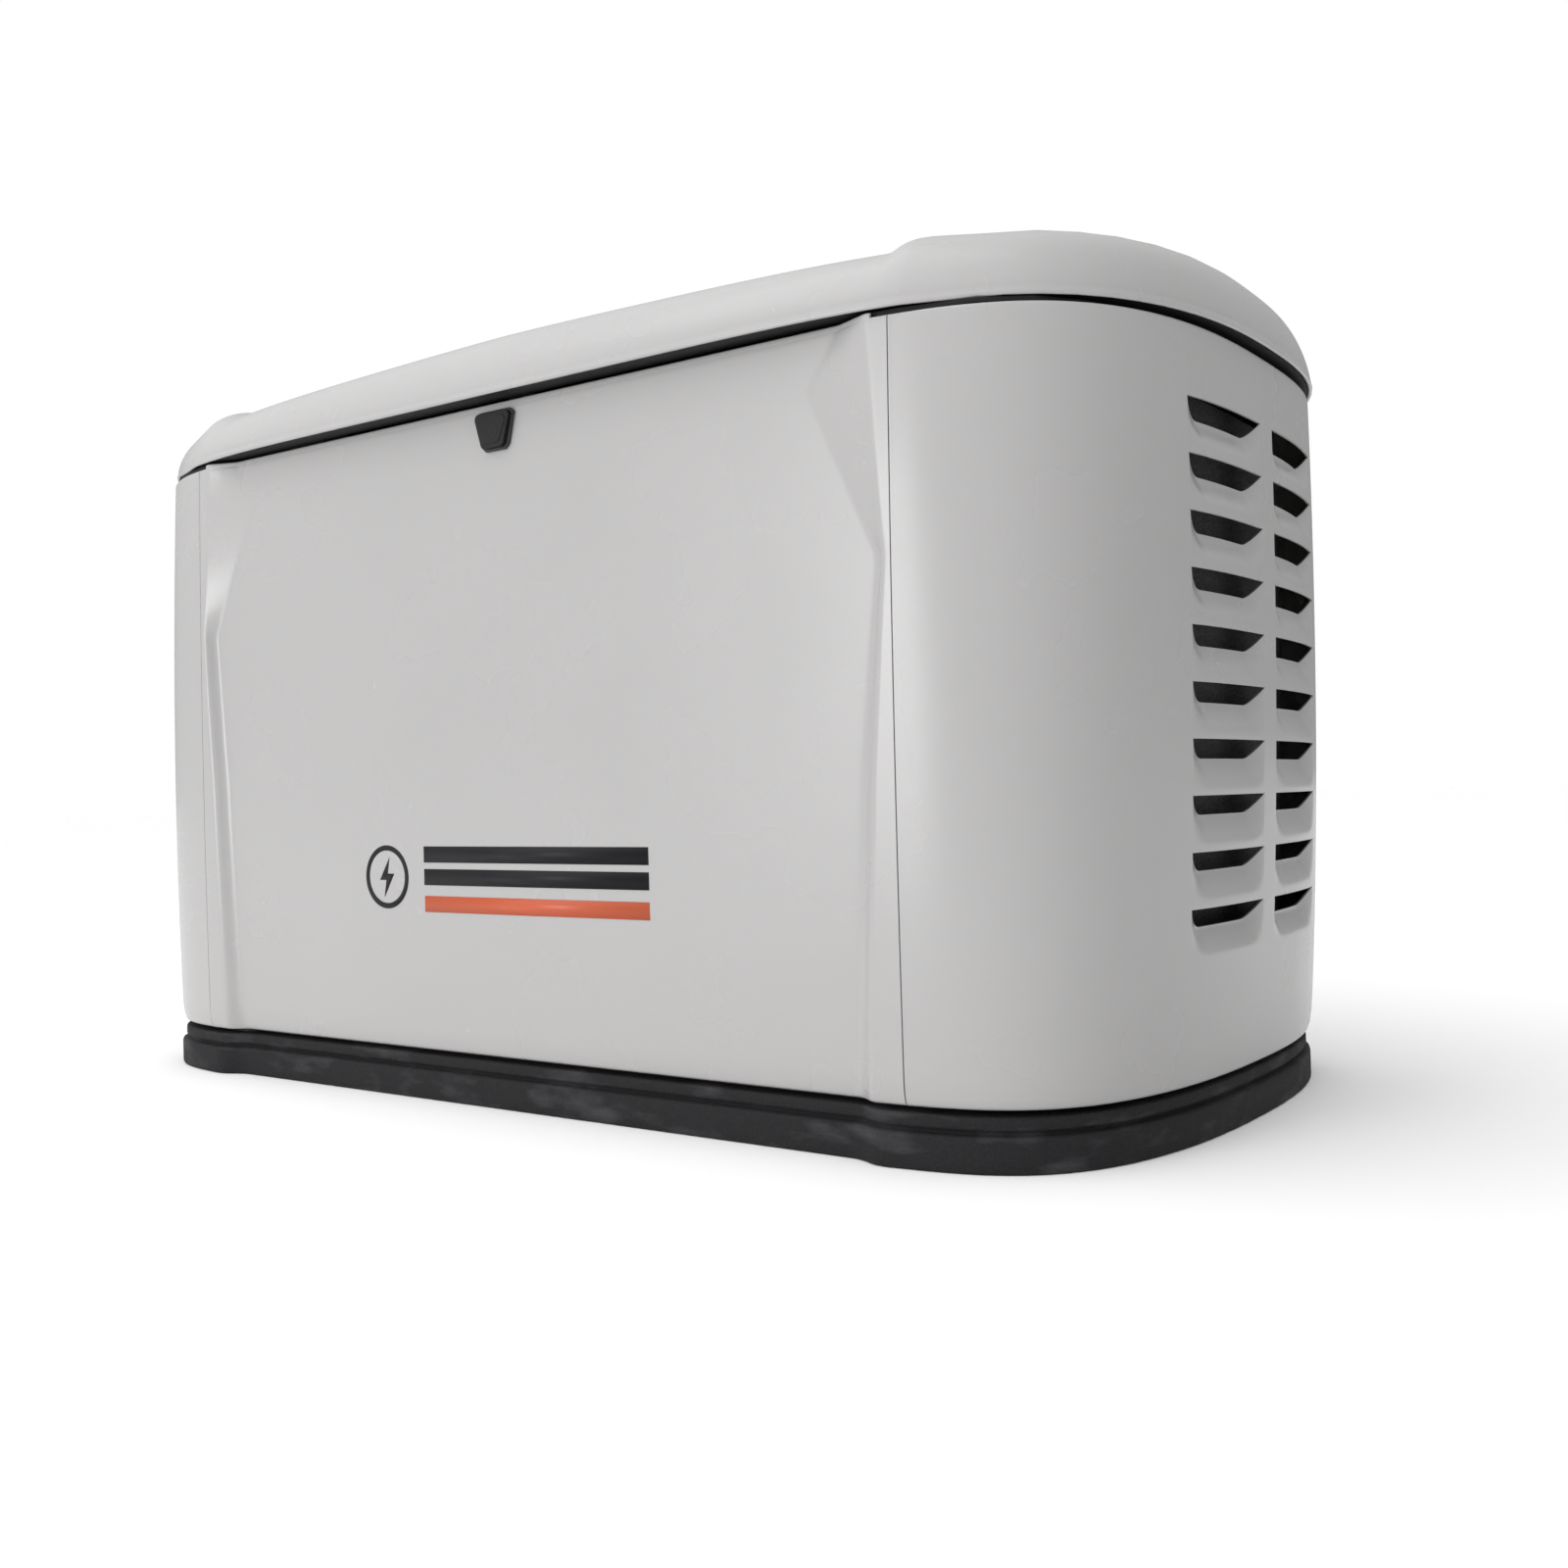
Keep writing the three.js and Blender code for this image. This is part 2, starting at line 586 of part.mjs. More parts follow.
function makeHinge(side, label) {
  const half = HINGE_LENGTH / 2;
  const middle = 11;
  const wall = rearFaceY(HINGE_Z - 40) - HINGE_Y + GAP;
  const baseLeaf = join(
    block([-half, wall, -36], [half, wall + 2.6, -6.2]),
    block([-half, wall, -8], [-middle - GAP, -HINGE_PIN_R - 0.6, 0]),
    block([middle + GAP, wall, -8], [half, -HINGE_PIN_R - 0.6, 0]),
    knuckle(-half, -middle - GAP),
    knuckle(middle + GAP, half));
  const skin = ROOF_DEPTH / 2 - HINGE_Y + 0.4;
  const roofLeaf = join(
    block([-half, skin, KNUCKLE_R + 0.8], [half, skin + 2.4, 30]),
    block([-middle, skin, 3.6], [middle, skin + 2.4, 12]),
    knuckle(-middle, middle));
  const pin = bar('x', HINGE_PIN_R, -half - 2, half + 2, [0, 0], 12);
  const hinge = group(
    piece('hinge_base_leaf_' + label, baseLeaf, zinc),
    piece('hinge_roof_leaf_' + label, roofLeaf, zinc),
    piece('hinge_pin_' + label, pin, steel));
  return placed(hinge, side * HINGE_X, HINGE_Y, HINGE_Z);
}

// A trapezoid with cut corners, wider at its top, as [x, z] from its bottom centre.
function coverOutline(grow) {
  const top = COVER_TOP / 2 + grow;
  const bottom = COVER_BOTTOM / 2 + grow;
  const low = -grow;
  const high = COVER_HEIGHT + grow;
  const corner = 4;
  return [[-bottom + corner, low], [bottom - corner, low], [bottom + 0.5, low + corner], [top, high - corner],
    [top - corner, high], [-top + corner, high], [-top, high - corner], [-bottom - 0.5, low + corner]];
}

function makeLock() {
  const face = frontFaceY(LOCK_Z);
  const centre = [0, LOCK_Z - COVER_Z];
  const bezelFront = face - 3.5;
  const camY = face + 15;
  const bezel = cut(
    join(
      plateXZ(coverOutline(2), bezelFront, face - 0.6),
      bar('y', LOCK_R + 2.6, face - 1, camY - 3, centre)),
    bar('y', LOCK_R + RUNNING_GAP, bezelFront - 1, camY, centre));
  const cylinder = cut(
    join(
      bar('y', LOCK_R, bezelFront + 0.5, camY - 1, centre),
      bar('y', LOCK_TAIL_R, camY - 2, camY + 5, centre)),
    block([-5, bezelFront, centre[1] - 0.8], [5, bezelFront + 3, centre[1] + 0.8]));
  const camShape = join(
    bar('y', LOCK_TAIL_R + 3, camY, camY + 3, centre),
    block([-CAM_WIDTH / 2, camY, centre[1]], [CAM_WIDTH / 2, camY + 3, centre[1] + CAM_LENGTH]));
  const cam = cut(camShape, bar('y', LOCK_TAIL_R + GAP, camY - 1, camY + 4, centre));
  const cover = plateXZ(coverOutline(0), bezelFront - 0.6 - COVER_THICK, bezelFront - 0.6);
  const lock = placed(group(
    piece('lock_bezel', bezel, blackPlastic),
    piece('lock_cylinder', cylinder, steel),
    piece('lock_cam', cam, zinc),
    piece('lock_cover', cover, rubber)), LOCK_X, 0, COVER_Z);

  // The striker hangs from the roof's rim behind the cam's plane, with a shelf that the cam turns over.
  const shelfTop = LOCK_Z - CAM_WIDTH / 2 - 0.6;
  const rimTop = LIP_Z + RIM_THICK + GAP;
  const shelfX = [LOCK_X + 10, LOCK_X + 26];
  const back = camY + 8;
  const striker = join(
    block([shelfX[0], camY - 1, shelfTop - 2.5], [shelfX[1], back + 2.5, shelfTop]),
    block([shelfX[0], back, shelfTop - 2.5], [shelfX[1], back + 2.5, rimTop + 2.5]),
    block([shelfX[0] - 8, -ROOF_DEPTH / 2 + 9, rimTop], [shelfX[1] + 8, back + 2.5, rimTop + 2.5]));
  return group(lock, piece('roof_striker', striker, zinc));
}

// ---- engine ----
const ENGINE_TILT = THREE.MathUtils.degToRad(CYLINDER_TILT);

function makeCradle() {
  const [x0, x1] = [STATOR_X[0] + 20, CRANKCASE_X[1] - 20];
  const rail = (y) => block([x0, y - RAIL / 2, CRADLE_TOP - RAIL], [x1, y + RAIL / 2, CRADLE_TOP]);
  const front = CRANK_Y - CRADLE_RAIL_Y;
  const rear = CRANK_Y + CRADLE_RAIL_Y;
  const cross = (x) => block([x, front, CRADLE_TOP - RAIL], [x + RAIL, rear, CRADLE_TOP - 4]);
  const cradle = join(rail(front), rail(rear), cross(x0), cross(x1 - RAIL));
  const feet = [x0 + 20, x1 - 20].flatMap((x) => [front, rear].map((y) => [x, y]));
  const labels = ['left_front', 'left_rear', 'right_front', 'right_rear'];
  const rubberFoot = [
    [0, 0], [ISOLATOR_R, 0], [ISOLATOR_R - 3, 7], [ISOLATOR_R - 3, 18], [ISOLATOR_R - 6, 26],
    [0, CRADLE_TOP - RAIL - GAP - FLOOR_Z]];
  const isolators = feet.map(([x, y], i) => {
    const shape = turned(rubberFoot, 16).rotateX(Math.PI / 2);
    return placed(piece('isolator_' + labels[i], solid(shape), rubber), x, y, FLOOR_Z);
  });
  return group(piece('engine_cradle', cradle, blackPaint), ...isolators);
}

function makeCrankcase() {
  const a = CRANKCASE_APOTHEM;
  const corner = a * Math.tan(Math.PI / 8);
  const outline = [
    [-a, corner], [-a, -a * 0.6], [-a * 0.72, -SUMP_DROP], [a * 0.72, -SUMP_DROP],
    [a, -a * 0.6], [a, corner], [corner, a], [-corner, a],
  ].map(([y, z]) => [y + CRANK_Y, z + CRANK_Z]);
  const [x0, x1] = CRANKCASE_X;
  const foot = (y) => block([x0 + 10, y - 14, CRADLE_TOP + GAP], [x1 - 10, y + 14, CRANK_Z - SUMP_DROP + 25]);
  const stick = dipstickAxis();
  const tube = bar('z', DIPSTICK_TUBE_R, stick.z - 40, stick.top, [stick.x, stick.y], 12);
  const boss = block([stick.x - 9, stick.y - 8, stick.z - 46], [stick.x + 9, CRANK_Y - a + 2, stick.z - 20]);
  const bore = bar('z', DIPSTICK_R + RUNNING_GAP, stick.z - 34, stick.top + 1, [stick.x, stick.y], 12);
  const flange = bar('x', a + 12, x1 - 14, x1 - 2, [CRANK_Y, CRANK_Z], 24);
  const seatCut = block([x1 - 20, CRANK_Y - 200, 0], [x1, CRANK_Y + 200, CRADLE_TOP + GAP]);
  const crankBore = bar('x', CRANK_R + RUNNING_GAP, x0 - 1, x1 + 1, [CRANK_Y, CRANK_Z], 24);
  const feet = [foot(CRANK_Y - CRADLE_RAIL_Y + 8), foot(CRANK_Y + CRADLE_RAIL_Y - 8)];
  const body = join(barYZ(outline, x0, x1), ...feet, boss, tube, flange);
  return piece('crankcase', cut(body, bore, seatCut, crankBore), castAlloy);
}

function dipstickAxis() {
  return { x: -132, y: CRANK_Y - CRANKCASE_APOTHEM - 16, z: CRANK_Z - 10, top: CRANK_Z + 60 };
}

// A finned cylinder with its head, standing on +Z with its base at the crankcase face.
function finnedCylinder() {
  const length = FIN_COUNT * FIN_PITCH;
  const half = FIN_WIDTH / 2;
  const barrel = BARREL_WIDTH / 2;
  let shape = block([-barrel, -barrel, 0], [barrel, barrel, length + HEAD_HEIGHT]);
  for (let i = 0; i < FIN_COUNT; i += 1) {
    const z = 6 + i * FIN_PITCH;
    shape = shape.add(block([-half, -half, z], [half, half, z + FIN_THICK]));
  }
  const head = block([-half + 3, -half + 3, length], [half - 3, half - 3, length + HEAD_HEIGHT]);
  return shape.add(head);
}

function makeCylinder(sign, label, x) {
  const base = CRANKCASE_APOTHEM + GAP;
  const headTop = base + FIN_COUNT * FIN_PITCH + HEAD_HEIGHT;
  const half = FIN_WIDTH / 2 - 5;
  const cylinder = placed(piece('cylinder_' + label, finnedCylinder(), castAlloy), 0, 0, base);
  const lid = join(
    block([-half, -half, 0], [half, half, 8]),
    block([-half + 6, -half + 6, 7], [half - 6, half - 6, VALVE_COVER_HEIGHT]));
  const cover = placed(piece('valve_cover_' + label, lid, blackPaint), 0, 0, headTop + GAP);
  const bank = placed(group(cylinder, cover), x, CRANK_Y, CRANK_Z);
  bank.rotation.x = sign * ENGINE_TILT;
  return bank;
}

function makeCrankTrain() {
  const shaft = bar('x', CRANK_R, STATOR_X[0] - 18, FAN_X[1] + 6, [CRANK_Y, CRANK_Z], 24);
  const bore = (x0, x1) => bar('x', CRANK_R + GAP, x0, x1, [CRANK_Y, CRANK_Z], 24);
  let fan = join(
    bar('x', FAN_R, FAN_X[0], FAN_X[0] + 9, [CRANK_Y, CRANK_Z], 24),
    bar('x', 38, FAN_X[0] + 8, FAN_X[1] - 6, [CRANK_Y, CRANK_Z], 24));
  for (let i = 0; i < 12; i += 1) {
    const blade = block([FAN_X[0] + 8, -2, 30], [FAN_X[1] - 4, 2, FAN_R - 2])
      .rotate([30 * i, 0, 0]).translate([0, CRANK_Y, CRANK_Z]);
    fan = fan.add(blade);
  }
  fan = cut(fan, bore(FAN_X[0] - 1, FAN_X[1] + 1));

  const [r0, r1] = [STATOR_X[0] + 26, STATOR_X[1] - 36];
  let rotor = join(
    bar('x', ROTOR_R, r0, r1 - 14, [CRANK_Y, CRANK_Z], 24),
    bar('x', 34, r1 - 15, r1 + 12, [CRANK_Y, CRANK_Z], 20));
  for (let i = 0; i < 10; i += 1) {
    const blade = block([r1 - 15, -1.5, 30], [r1 + 10, 1.5, ROTOR_R - 3])
      .rotate([36 * i, 0, 0]).translate([0, CRANK_Y, CRANK_Z]);
    rotor = rotor.add(blade);
  }
  rotor = cut(rotor, bore(r0 - 1, r1 + 20));
  return group(
    piece('crankshaft', shaft, steel),
    piece('flywheel_fan', fan, castAlloy),
    piece('alternator_rotor', rotor, copperRed));
}

function makeBlower() {
  const [x0, x1] = [CRANKCASE_X[1] + 2, FAN_X[1] + 14];
  const wall = 3;
  const profile = [[BLOWER_R - wall, x0], [BLOWER_R, x0], [BLOWER_R, x1], [66, x1], [66, x1 - wall],
    [BLOWER_R - wall, x1 - wall], [BLOWER_R - wall, x0]];
  return piece('blower_housing', turnedOnCrank(profile, 24), blackPlastic);
}

function makeAlternator() {
  const [x0, x1] = STATOR_X;
  const tube = (outer, inner, from, to) => cut(
    bar('x', outer, from, to, [CRANK_Y, CRANK_Z], 24),
    bar('x', inner, from - 1, to + 1, [CRANK_Y, CRANK_Z], 24));
  let stator = join(tube(STATOR_R, STATOR_BORE, x0 + 30, x1 - 24), tube(STATOR_R - 12, STATOR_BORE, x0, x1));
  stator = stator.add(tube(STATOR_R, STATOR_BORE, x1 - 8, x1));
  const foot = (y) => block([x0 + 40, y - 14, CRADLE_TOP + GAP], [x1 - 60, y + 14, CRANK_Z - 76]);
  const clear = bar('x', STATOR_BORE, x0 - 1, x1 + 1, [CRANK_Y, CRANK_Z], 24);
  stator = cut(join(stator, foot(CRANK_Y - CRADLE_RAIL_Y + 10), foot(CRANK_Y + CRADLE_RAIL_Y - 10)), clear);
  let carrier = bar('x', STATOR_R - 14, x0 - 14, x0 - GAP, [CRANK_Y, CRANK_Z], 32);
  for (let i = 0; i < 6; i += 1) {
    const vent = block([x0 - 20, -13, 42], [x0 + 2, 13, 84]).rotate([60 * i + 30, 0, 0]);
    carrier = carrier.subtract(vent.translate([0, CRANK_Y, CRANK_Z]));
  }
  carrier = cut(carrier, bar('x', CRANK_R + RUNNING_GAP, x0 - 20, x0 + 2, [CRANK_Y, CRANK_Z], 24));
  return group(
    piece('alternator_stator', stator, castAlloy),
    piece('bearing_carrier', carrier, castAlloy));
}

function makeIntake() {
  const { x, y, z, lid } = AIR_BOX;
  const wall = 2.5;
  const body = block([x[0], y[0], z[0]], [x[1], y[1], z[1]]);
  const inside = block([x[0] + wall, y[0] + wall, z[0] + wall], [x[1] - wall, y[1] - wall, z[1] + 1]);
  const throat = bar('z', 22, z[0] - 1, z[0] + wall + 1, [MIXER_X, CRANK_Y]);
  const top = join(
    block([x[0] - 3, y[0] - 3, z[1] + GAP], [x[1] + 3, y[1] + 3, z[1] + 5]),
    block([x[0] + 12, y[0] + 12, z[1] + 4], [x[1] - 12, y[1] - 12, z[1] + lid]));
  const reach = MANIFOLD_Z - RUNNER_R - CRANK_Z - (FIN_WIDTH / 2 + GAP) * Math.SQRT2;
  const runner = bar('y', RUNNER_R, CRANK_Y - reach, CRANK_Y + reach, [MIXER_X, MANIFOLD_Z], 16);
  const mixer = bar('z', MIXER_R, MANIFOLD_Z - 12, z[0] - GAP, [MIXER_X, CRANK_Y], 20);
  return group(
    piece('air_cleaner_box', cut(body, inside, throat), blackPlastic),
    piece('air_cleaner_cover', top, blackPlastic),
    piece('intake_manifold', join(runner, mixer), castAlloy));
}

function makeEngineFittings() {
  const caseFront = CRANK_Y - CRANKCASE_APOTHEM;
  const filterZ = CRANK_Z - 30;
  const filterProfile = [[0, 0], [28, 0], [30, 4], [30, 62], [24, 72], [0, 72]];
  const filterShape = turned(filterProfile, 20);
  filterShape.rotateX(Math.PI);
  const filter = placed(
    piece('oil_filter', solid(filterShape), filterPaint), OIL_FILTER_X, caseFront - 0.8, filterZ);

  const stick = dipstickAxis();
  const rod = bar('z', DIPSTICK_R, -88, 2, [0, 0], 8);
  const grip = join(bar('z', 8.5, 0.6, 9, [0, 0], 16), cut(bar('y', 12, -3, 3, [0, 18], 16),
    bar('y', 7, -4, 4, [0, 18], 12)));
  const dipstick = placed(piece('dipstick', join(rod, grip), yellowPlastic), stick.x, stick.y, stick.top);

  const [starterLeft, starterRight] = STARTER_X;
  const [starterY, starterZ] = STARTER_AT;
  const starterBody = join(
    bar('x', STARTER_R, starterLeft, starterRight - 24, STARTER_AT, 20),
    bar('x', 24, starterRight - 25, starterRight, STARTER_AT, 20),
    bar('x', 15, starterLeft + 10, starterRight - 40, [starterY, starterZ - 44], 16),
    block([starterLeft + 30, starterY - 8, starterZ - 40], [starterRight - 50, starterY + 8, starterZ - 25]));

  const headTop = CRANKCASE_APOTHEM + GAP + FIN_COUNT * FIN_PITCH + HEAD_HEIGHT + GAP + VALVE_COVER_HEIGHT;
  const capShape = join(bar('z', 15, 0, 10, [0, 0], 12), block([-13, -3, 9], [13, 3, 16]));
  const cap = placed(
    piece('oil_fill_cap', capShape, yellowPlastic), CYLINDER_X[1] + 18, 0, headTop + RUNNING_GAP);
  const capBank = placed(group(cap), 0, CRANK_Y, CRANK_Z);
  capBank.rotation.x = -ENGINE_TILT;
  return group(filter, dipstick, piece('starter_motor', starterBody, blackPaint), capBank);
}

// ---- exhaust and fuel ----
const PIPE_ROUTES = [-1, 1].map((sign) => {
  const x = CYLINDER_X[sign < 0 ? 0 : 1] + FIN_WIDTH / 2 - 2;
  const out = (CRANKCASE_APOTHEM + FIN_COUNT * FIN_PITCH + HEAD_HEIGHT / 2) * Math.SQRT1_2;
  const port = [x, CRANK_Y + sign * out, CRANK_Z + out];
  const target = [MUFFLER_X[0] - 1, MUFFLER_Y + sign * 42, MUFFLER_Z + 30];
  return [port, [port[0] + 26, port[1], port[2]], [172, port[1] * 0.9 + 2, port[2] - 26],
    [206, port[1] * 0.65, port[2] - 96], [DIVIDER_X + 6, target[1] + sign * 10, target[2] + 34],
    [target[0] - 6, target[1], target[2] + 4], target];
});

function makeExhaust() {
  const length = MUFFLER_X[1] - MUFFLER_X[0];
  const neck = MUFFLER_R * 0.7;
  const profile = [
    [0, 0], [neck, 0], [MUFFLER_R, 18], [MUFFLER_R, length - 18], [neck, length], [0, length]];
  const shell = turned(profile, 28);
  shell.rotateZ(-Math.PI / 2);
  shell.translate(MUFFLER_X[0], MUFFLER_Y, MUFFLER_Z);
  const outlet = bar('x', 22, MUFFLER_X[1] - 6, MUFFLER_X[1] + 58, [MUFFLER_Y - 20, MUFFLER_Z - 20], 16);
  const bore = bar('x', 19, MUFFLER_X[1] + 2, MUFFLER_X[1] + 60, [MUFFLER_Y - 20, MUFFLER_Z - 20], 16);
  const muffler = cut(join(solid(shell), outlet), bore);
  const saddle = (x) => block([x, MUFFLER_Y - 40, FLOOR_Z],
    [x + 16, MUFFLER_Y + 40, MUFFLER_Z - MUFFLER_R + 12]);
  const mounted = join(muffler, saddle(MUFFLER_X[0] + 30), saddle(MUFFLER_X[1] - 60));
  const pipes = PIPE_ROUTES.map((route, i) => {
    const trimmed = cut(alongPath(route, PIPE_R, 16, 10), mounted.translate([-0.4, 0, 0]));
    const biggest = trimmed.decompose().sort((p, q) => q.volume() - p.volume())[0];
    return piece('exhaust_pipe_' + ['front', 'rear'][i], biggest, exhaustSteel);
  });
  return group(piece('muffler', mounted, exhaustSteel), ...pipes);
}

function makeFuel() {
  const { x, y, z } = REGULATOR;
  const middle = [(x[0] + x[1]) / 2, (y[0] + y[1]) / 2];
  const body = join(
    block([x[0] + 12, y[0], z[0] + 10], [x[1] - 12, y[1], z[1] - 20]),
    bar('z', 40, z[1] - 26, z[1] - 8, [middle[0], middle[1] - 2], 20),
    bar('z', 12, z[1] - 10, z[1], [middle[0], middle[1]], 12),
    block([middle[0] - 16, y[0] + 8, FLOOR_Z], [middle[0] + 16, y[1] - 8, z[0] + 12]));
  const selector = placed(piece('fuel_selector_lever', join(
    bar('x', 9, 0, 8, [0, 0], 16),
    block([2, -4, -34], [6, 4, 0]),
    bar('x', 6, 0, 9, [0, -36], 12)), redPlastic), x[1] - 12 + RUNNING_GAP, middle[1], z[0] + 34);
  const inlet = join(
    bar('y', FUEL_PIPE_R, y[1] + GAP, HINGE_Y + KNUCKLE_R, [FUEL_X, FUEL_Z], 16),
    bar('y', FUEL_PIPE_R + 7, y[1] + 6, y[1] + 20, [FUEL_X, FUEL_Z], 6));
  const pipe = cut(inlet, bar('y', FUEL_PIPE_R - 3, y[1] + 4, HINGE_Y + 40, [FUEL_X, FUEL_Z], 16));
  const mixerSide = MIXER_X - MIXER_R - GAP;
  const hose = alongPath([
    [middle[0], middle[1], z[1] + GAP], [middle[0], middle[1], z[1] + 24],
    [middle[0] - 44, middle[1] + 4, 290],
    [-128, 205, 380], [-124, 120, 440], [mixerSide - 34, 40, 450], [mixerSide - 12, CRANK_Y, 448],
    [mixerSide - 0.4, CRANK_Y, 448]], FUEL_HOSE_R, 20, 8);
  return group(
    piece('fuel_regulator', body, castAlloy), selector,
    piece('fuel_inlet_pipe', pipe, steel), piece('fuel_hose', hose, rubber));
}

// ---- electrical ----
function makeBattery() {
  const [length, depth, height] = BATTERY;
  const floor = FLOOR_Z;
  const post = (x) => bar('z', 8, height - 4, height + 12, [x, -depth / 2 + 30], 12);
  const caseShape = join(
    block([-length / 2 + 3, -depth / 2 + 3, 0], [length / 2 - 3, depth / 2 - 3, height - 22]),
    block([-length / 2, -depth / 2, height - 23], [length / 2, depth / 2, height - 6]),
    block([-length / 2 + 8, -depth / 2 + 8, height - 8], [length / 2 - 8, depth / 2 - 8, height]),
    post(-length / 2 + 32), post(length / 2 - 32));
  const battery = placed(piece('battery', caseShape, blackPlastic), BATTERY_X, BATTERY_Y, floor);
  const top = floor + height + 12 + GAP;
  const postY = BATTERY_Y - depth / 2 + 30;
  const plusX = BATTERY_X + length / 2 - 32;
  const minusX = BATTERY_X - length / 2 + 32;
  const starterTop = STARTER_AT[1] + STARTER_R + 1;
  const positive = alongPath([
    [plusX, postY, top], [plusX, postY, top + 18], [plusX + 30, postY + 4, top + 30], [-210, postY + 10, 262],
    [-120, -232, 250], [-30, -200, 240], [10, STARTER_AT[0] - 14, 226], [14, STARTER_AT[0], starterTop + 12],
    [14, STARTER_AT[0], starterTop]], CABLE_R, 20, 8);
  const groundX = CRANKCASE_X[0] + 12;
  const groundZ = CRANK_Z + CRANKCASE_APOTHEM * Math.SQRT1_2 + 8;
  const negative = alongPath([
    [minusX, postY, top], [minusX, postY, top + 18], [minusX + 26, postY + 22, top + 36], [-380, -170, 306],
    [-300, -150, 326], [-210, -100, 342], [-160, -58, 336], [groundX, CRANK_Y - 66, groundZ + 16],
    [groundX, CRANK_Y - 67, groundZ]], CABLE_R, 20, 8);
  return group(battery,
    piece('battery_cable_positive', positive, redPlastic), piece('battery_cable_negative', negative, rubber));
}

function makeControls() {
  const [length, depth, height] = CONTROL_BOX;
  const x0 = CONTROL_X - length / 2;
  const y0 = CONTROL_Y - depth / 2;
  const wall = 2;
  const outer = block([x0, y0, CONTROL_TOP - height], [x0 + length, y0 + depth, CONTROL_TOP]);
  const hollow = block([x0 + wall, y0 + wall, CONTROL_TOP - height - 1],
    [x0 + length - wall, y0 + depth - wall, CONTROL_TOP - wall]);
  const deck = block(
    [CONTROL_X - 92, CONTROL_Y - 62, CONTROL_TOP - 1],
    [CONTROL_X + 40, CONTROL_Y + 62, CONTROL_TOP + DECK_THICK]);
  const buttonPlaces = [-42, 0, 42].map((dx) => [CONTROL_X - 26 + dx, CONTROL_Y - 40]);
  const wells = buttonPlaces.map(([x, y]) =>
    bar('z', BUTTON_R + RUNNING_GAP, CONTROL_TOP - 6, CONTROL_TOP + 10, [x, y], 20));
  const box = piece('control_box', cut(join(outer, deck), hollow, ...wells), blackPaint);
  const names = ['button_auto', 'button_off', 'button_manual'];
  const colors = [greenPlastic, redPlastic, yellowPlastic];
  const buttons = buttonPlaces.map(([x, y], i) => placed(
    piece(names[i], bar('z', BUTTON_R, -3, 3.4, [0, 0], 20), colors[i]), x, y, CONTROL_TOP + DECK_THICK));
  const breakerX = CONTROL_X + 92;
  const breakerShape = cut(
    block([-28, -48, GAP], [28, 48, 14]),
    block([-9, -22, 4], [9, 22, 20]));
  const breaker = placed(piece('main_breaker', breakerShape, blackPlastic), breakerX, CONTROL_Y, CONTROL_TOP);
  const leverShape = join(bar('x', 5, -8, 8, [0, 0], 12), block([-6, -3, 0], [6, 3, 20]));
  const lever = placed(piece('breaker_lever', leverShape, finish(0xd8d8d4, 0.5, 0)),
    breakerX, CONTROL_Y, CONTROL_TOP + 10);
  return group(box, ...buttons, breaker, lever);
}

// ---- assembly ----
const enclosure = group(
  makeBase(), makeEnclosure(), makeRoof(), makeHinge(-1, 'left'), makeHinge(1, 'right'), makeLock());
const powertrain = group(
  makeCradle(), makeCrankcase(),
  makeCylinder(1, 'front', CYLINDER_X[0]), makeCylinder(-1, 'rear', CYLINDER_X[1]),
  makeCrankTrain(), makeBlower(), makeAlternator(), makeIntake(), makeEngineFittings(), makeExhaust());
const generator = group(enclosure, powertrain, makeFuel(), makeBattery(), makeControls());
export default generator;
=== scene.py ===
"""Looks of an air-cooled home standby generator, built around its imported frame.

Metres, +Z up. X runs along the length, and the front faces -Y.
"""
import json
import math

import bmesh
import bpy
import numpy as np
from mathutils import Matrix, Vector, noise


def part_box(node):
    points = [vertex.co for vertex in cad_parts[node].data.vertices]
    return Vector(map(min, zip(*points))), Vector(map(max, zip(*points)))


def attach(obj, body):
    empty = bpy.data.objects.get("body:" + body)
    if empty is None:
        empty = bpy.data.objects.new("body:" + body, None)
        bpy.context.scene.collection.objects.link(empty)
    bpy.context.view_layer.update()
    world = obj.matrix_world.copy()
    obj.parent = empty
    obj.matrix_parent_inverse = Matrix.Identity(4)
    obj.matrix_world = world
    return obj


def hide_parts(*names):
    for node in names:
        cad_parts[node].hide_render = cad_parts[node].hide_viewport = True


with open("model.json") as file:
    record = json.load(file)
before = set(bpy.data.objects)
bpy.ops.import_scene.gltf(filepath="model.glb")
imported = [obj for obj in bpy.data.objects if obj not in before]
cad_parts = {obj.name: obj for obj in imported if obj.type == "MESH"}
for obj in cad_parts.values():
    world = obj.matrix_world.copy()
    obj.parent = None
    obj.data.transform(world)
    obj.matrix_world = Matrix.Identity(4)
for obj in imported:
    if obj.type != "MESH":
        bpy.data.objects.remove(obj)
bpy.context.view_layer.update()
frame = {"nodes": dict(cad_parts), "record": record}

MM = 0.001

# ---- sizes read from the frame ----
ROOF_LOW, ROOF_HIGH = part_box("roof")
ROOF_A, ROOF_B, LIP_Z = ROOF_HIGH.x, ROOF_HIGH.y, ROOF_LOW.z
END_LOW, END_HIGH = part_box("right_end_panel")
PAD_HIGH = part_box("base_pad")[1]
LINER_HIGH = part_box("roof_liner")[1]
BOTTOM, TOP = END_LOW.z, END_HIGH.z
BODY_OF = {node: body for body, nodes in frame["record"]["behaviour"]["bodies"].items() for node in nodes}
SLOT_OF = {part["node"]: part["material_slot"] for part in frame["record"]["subparts"]}

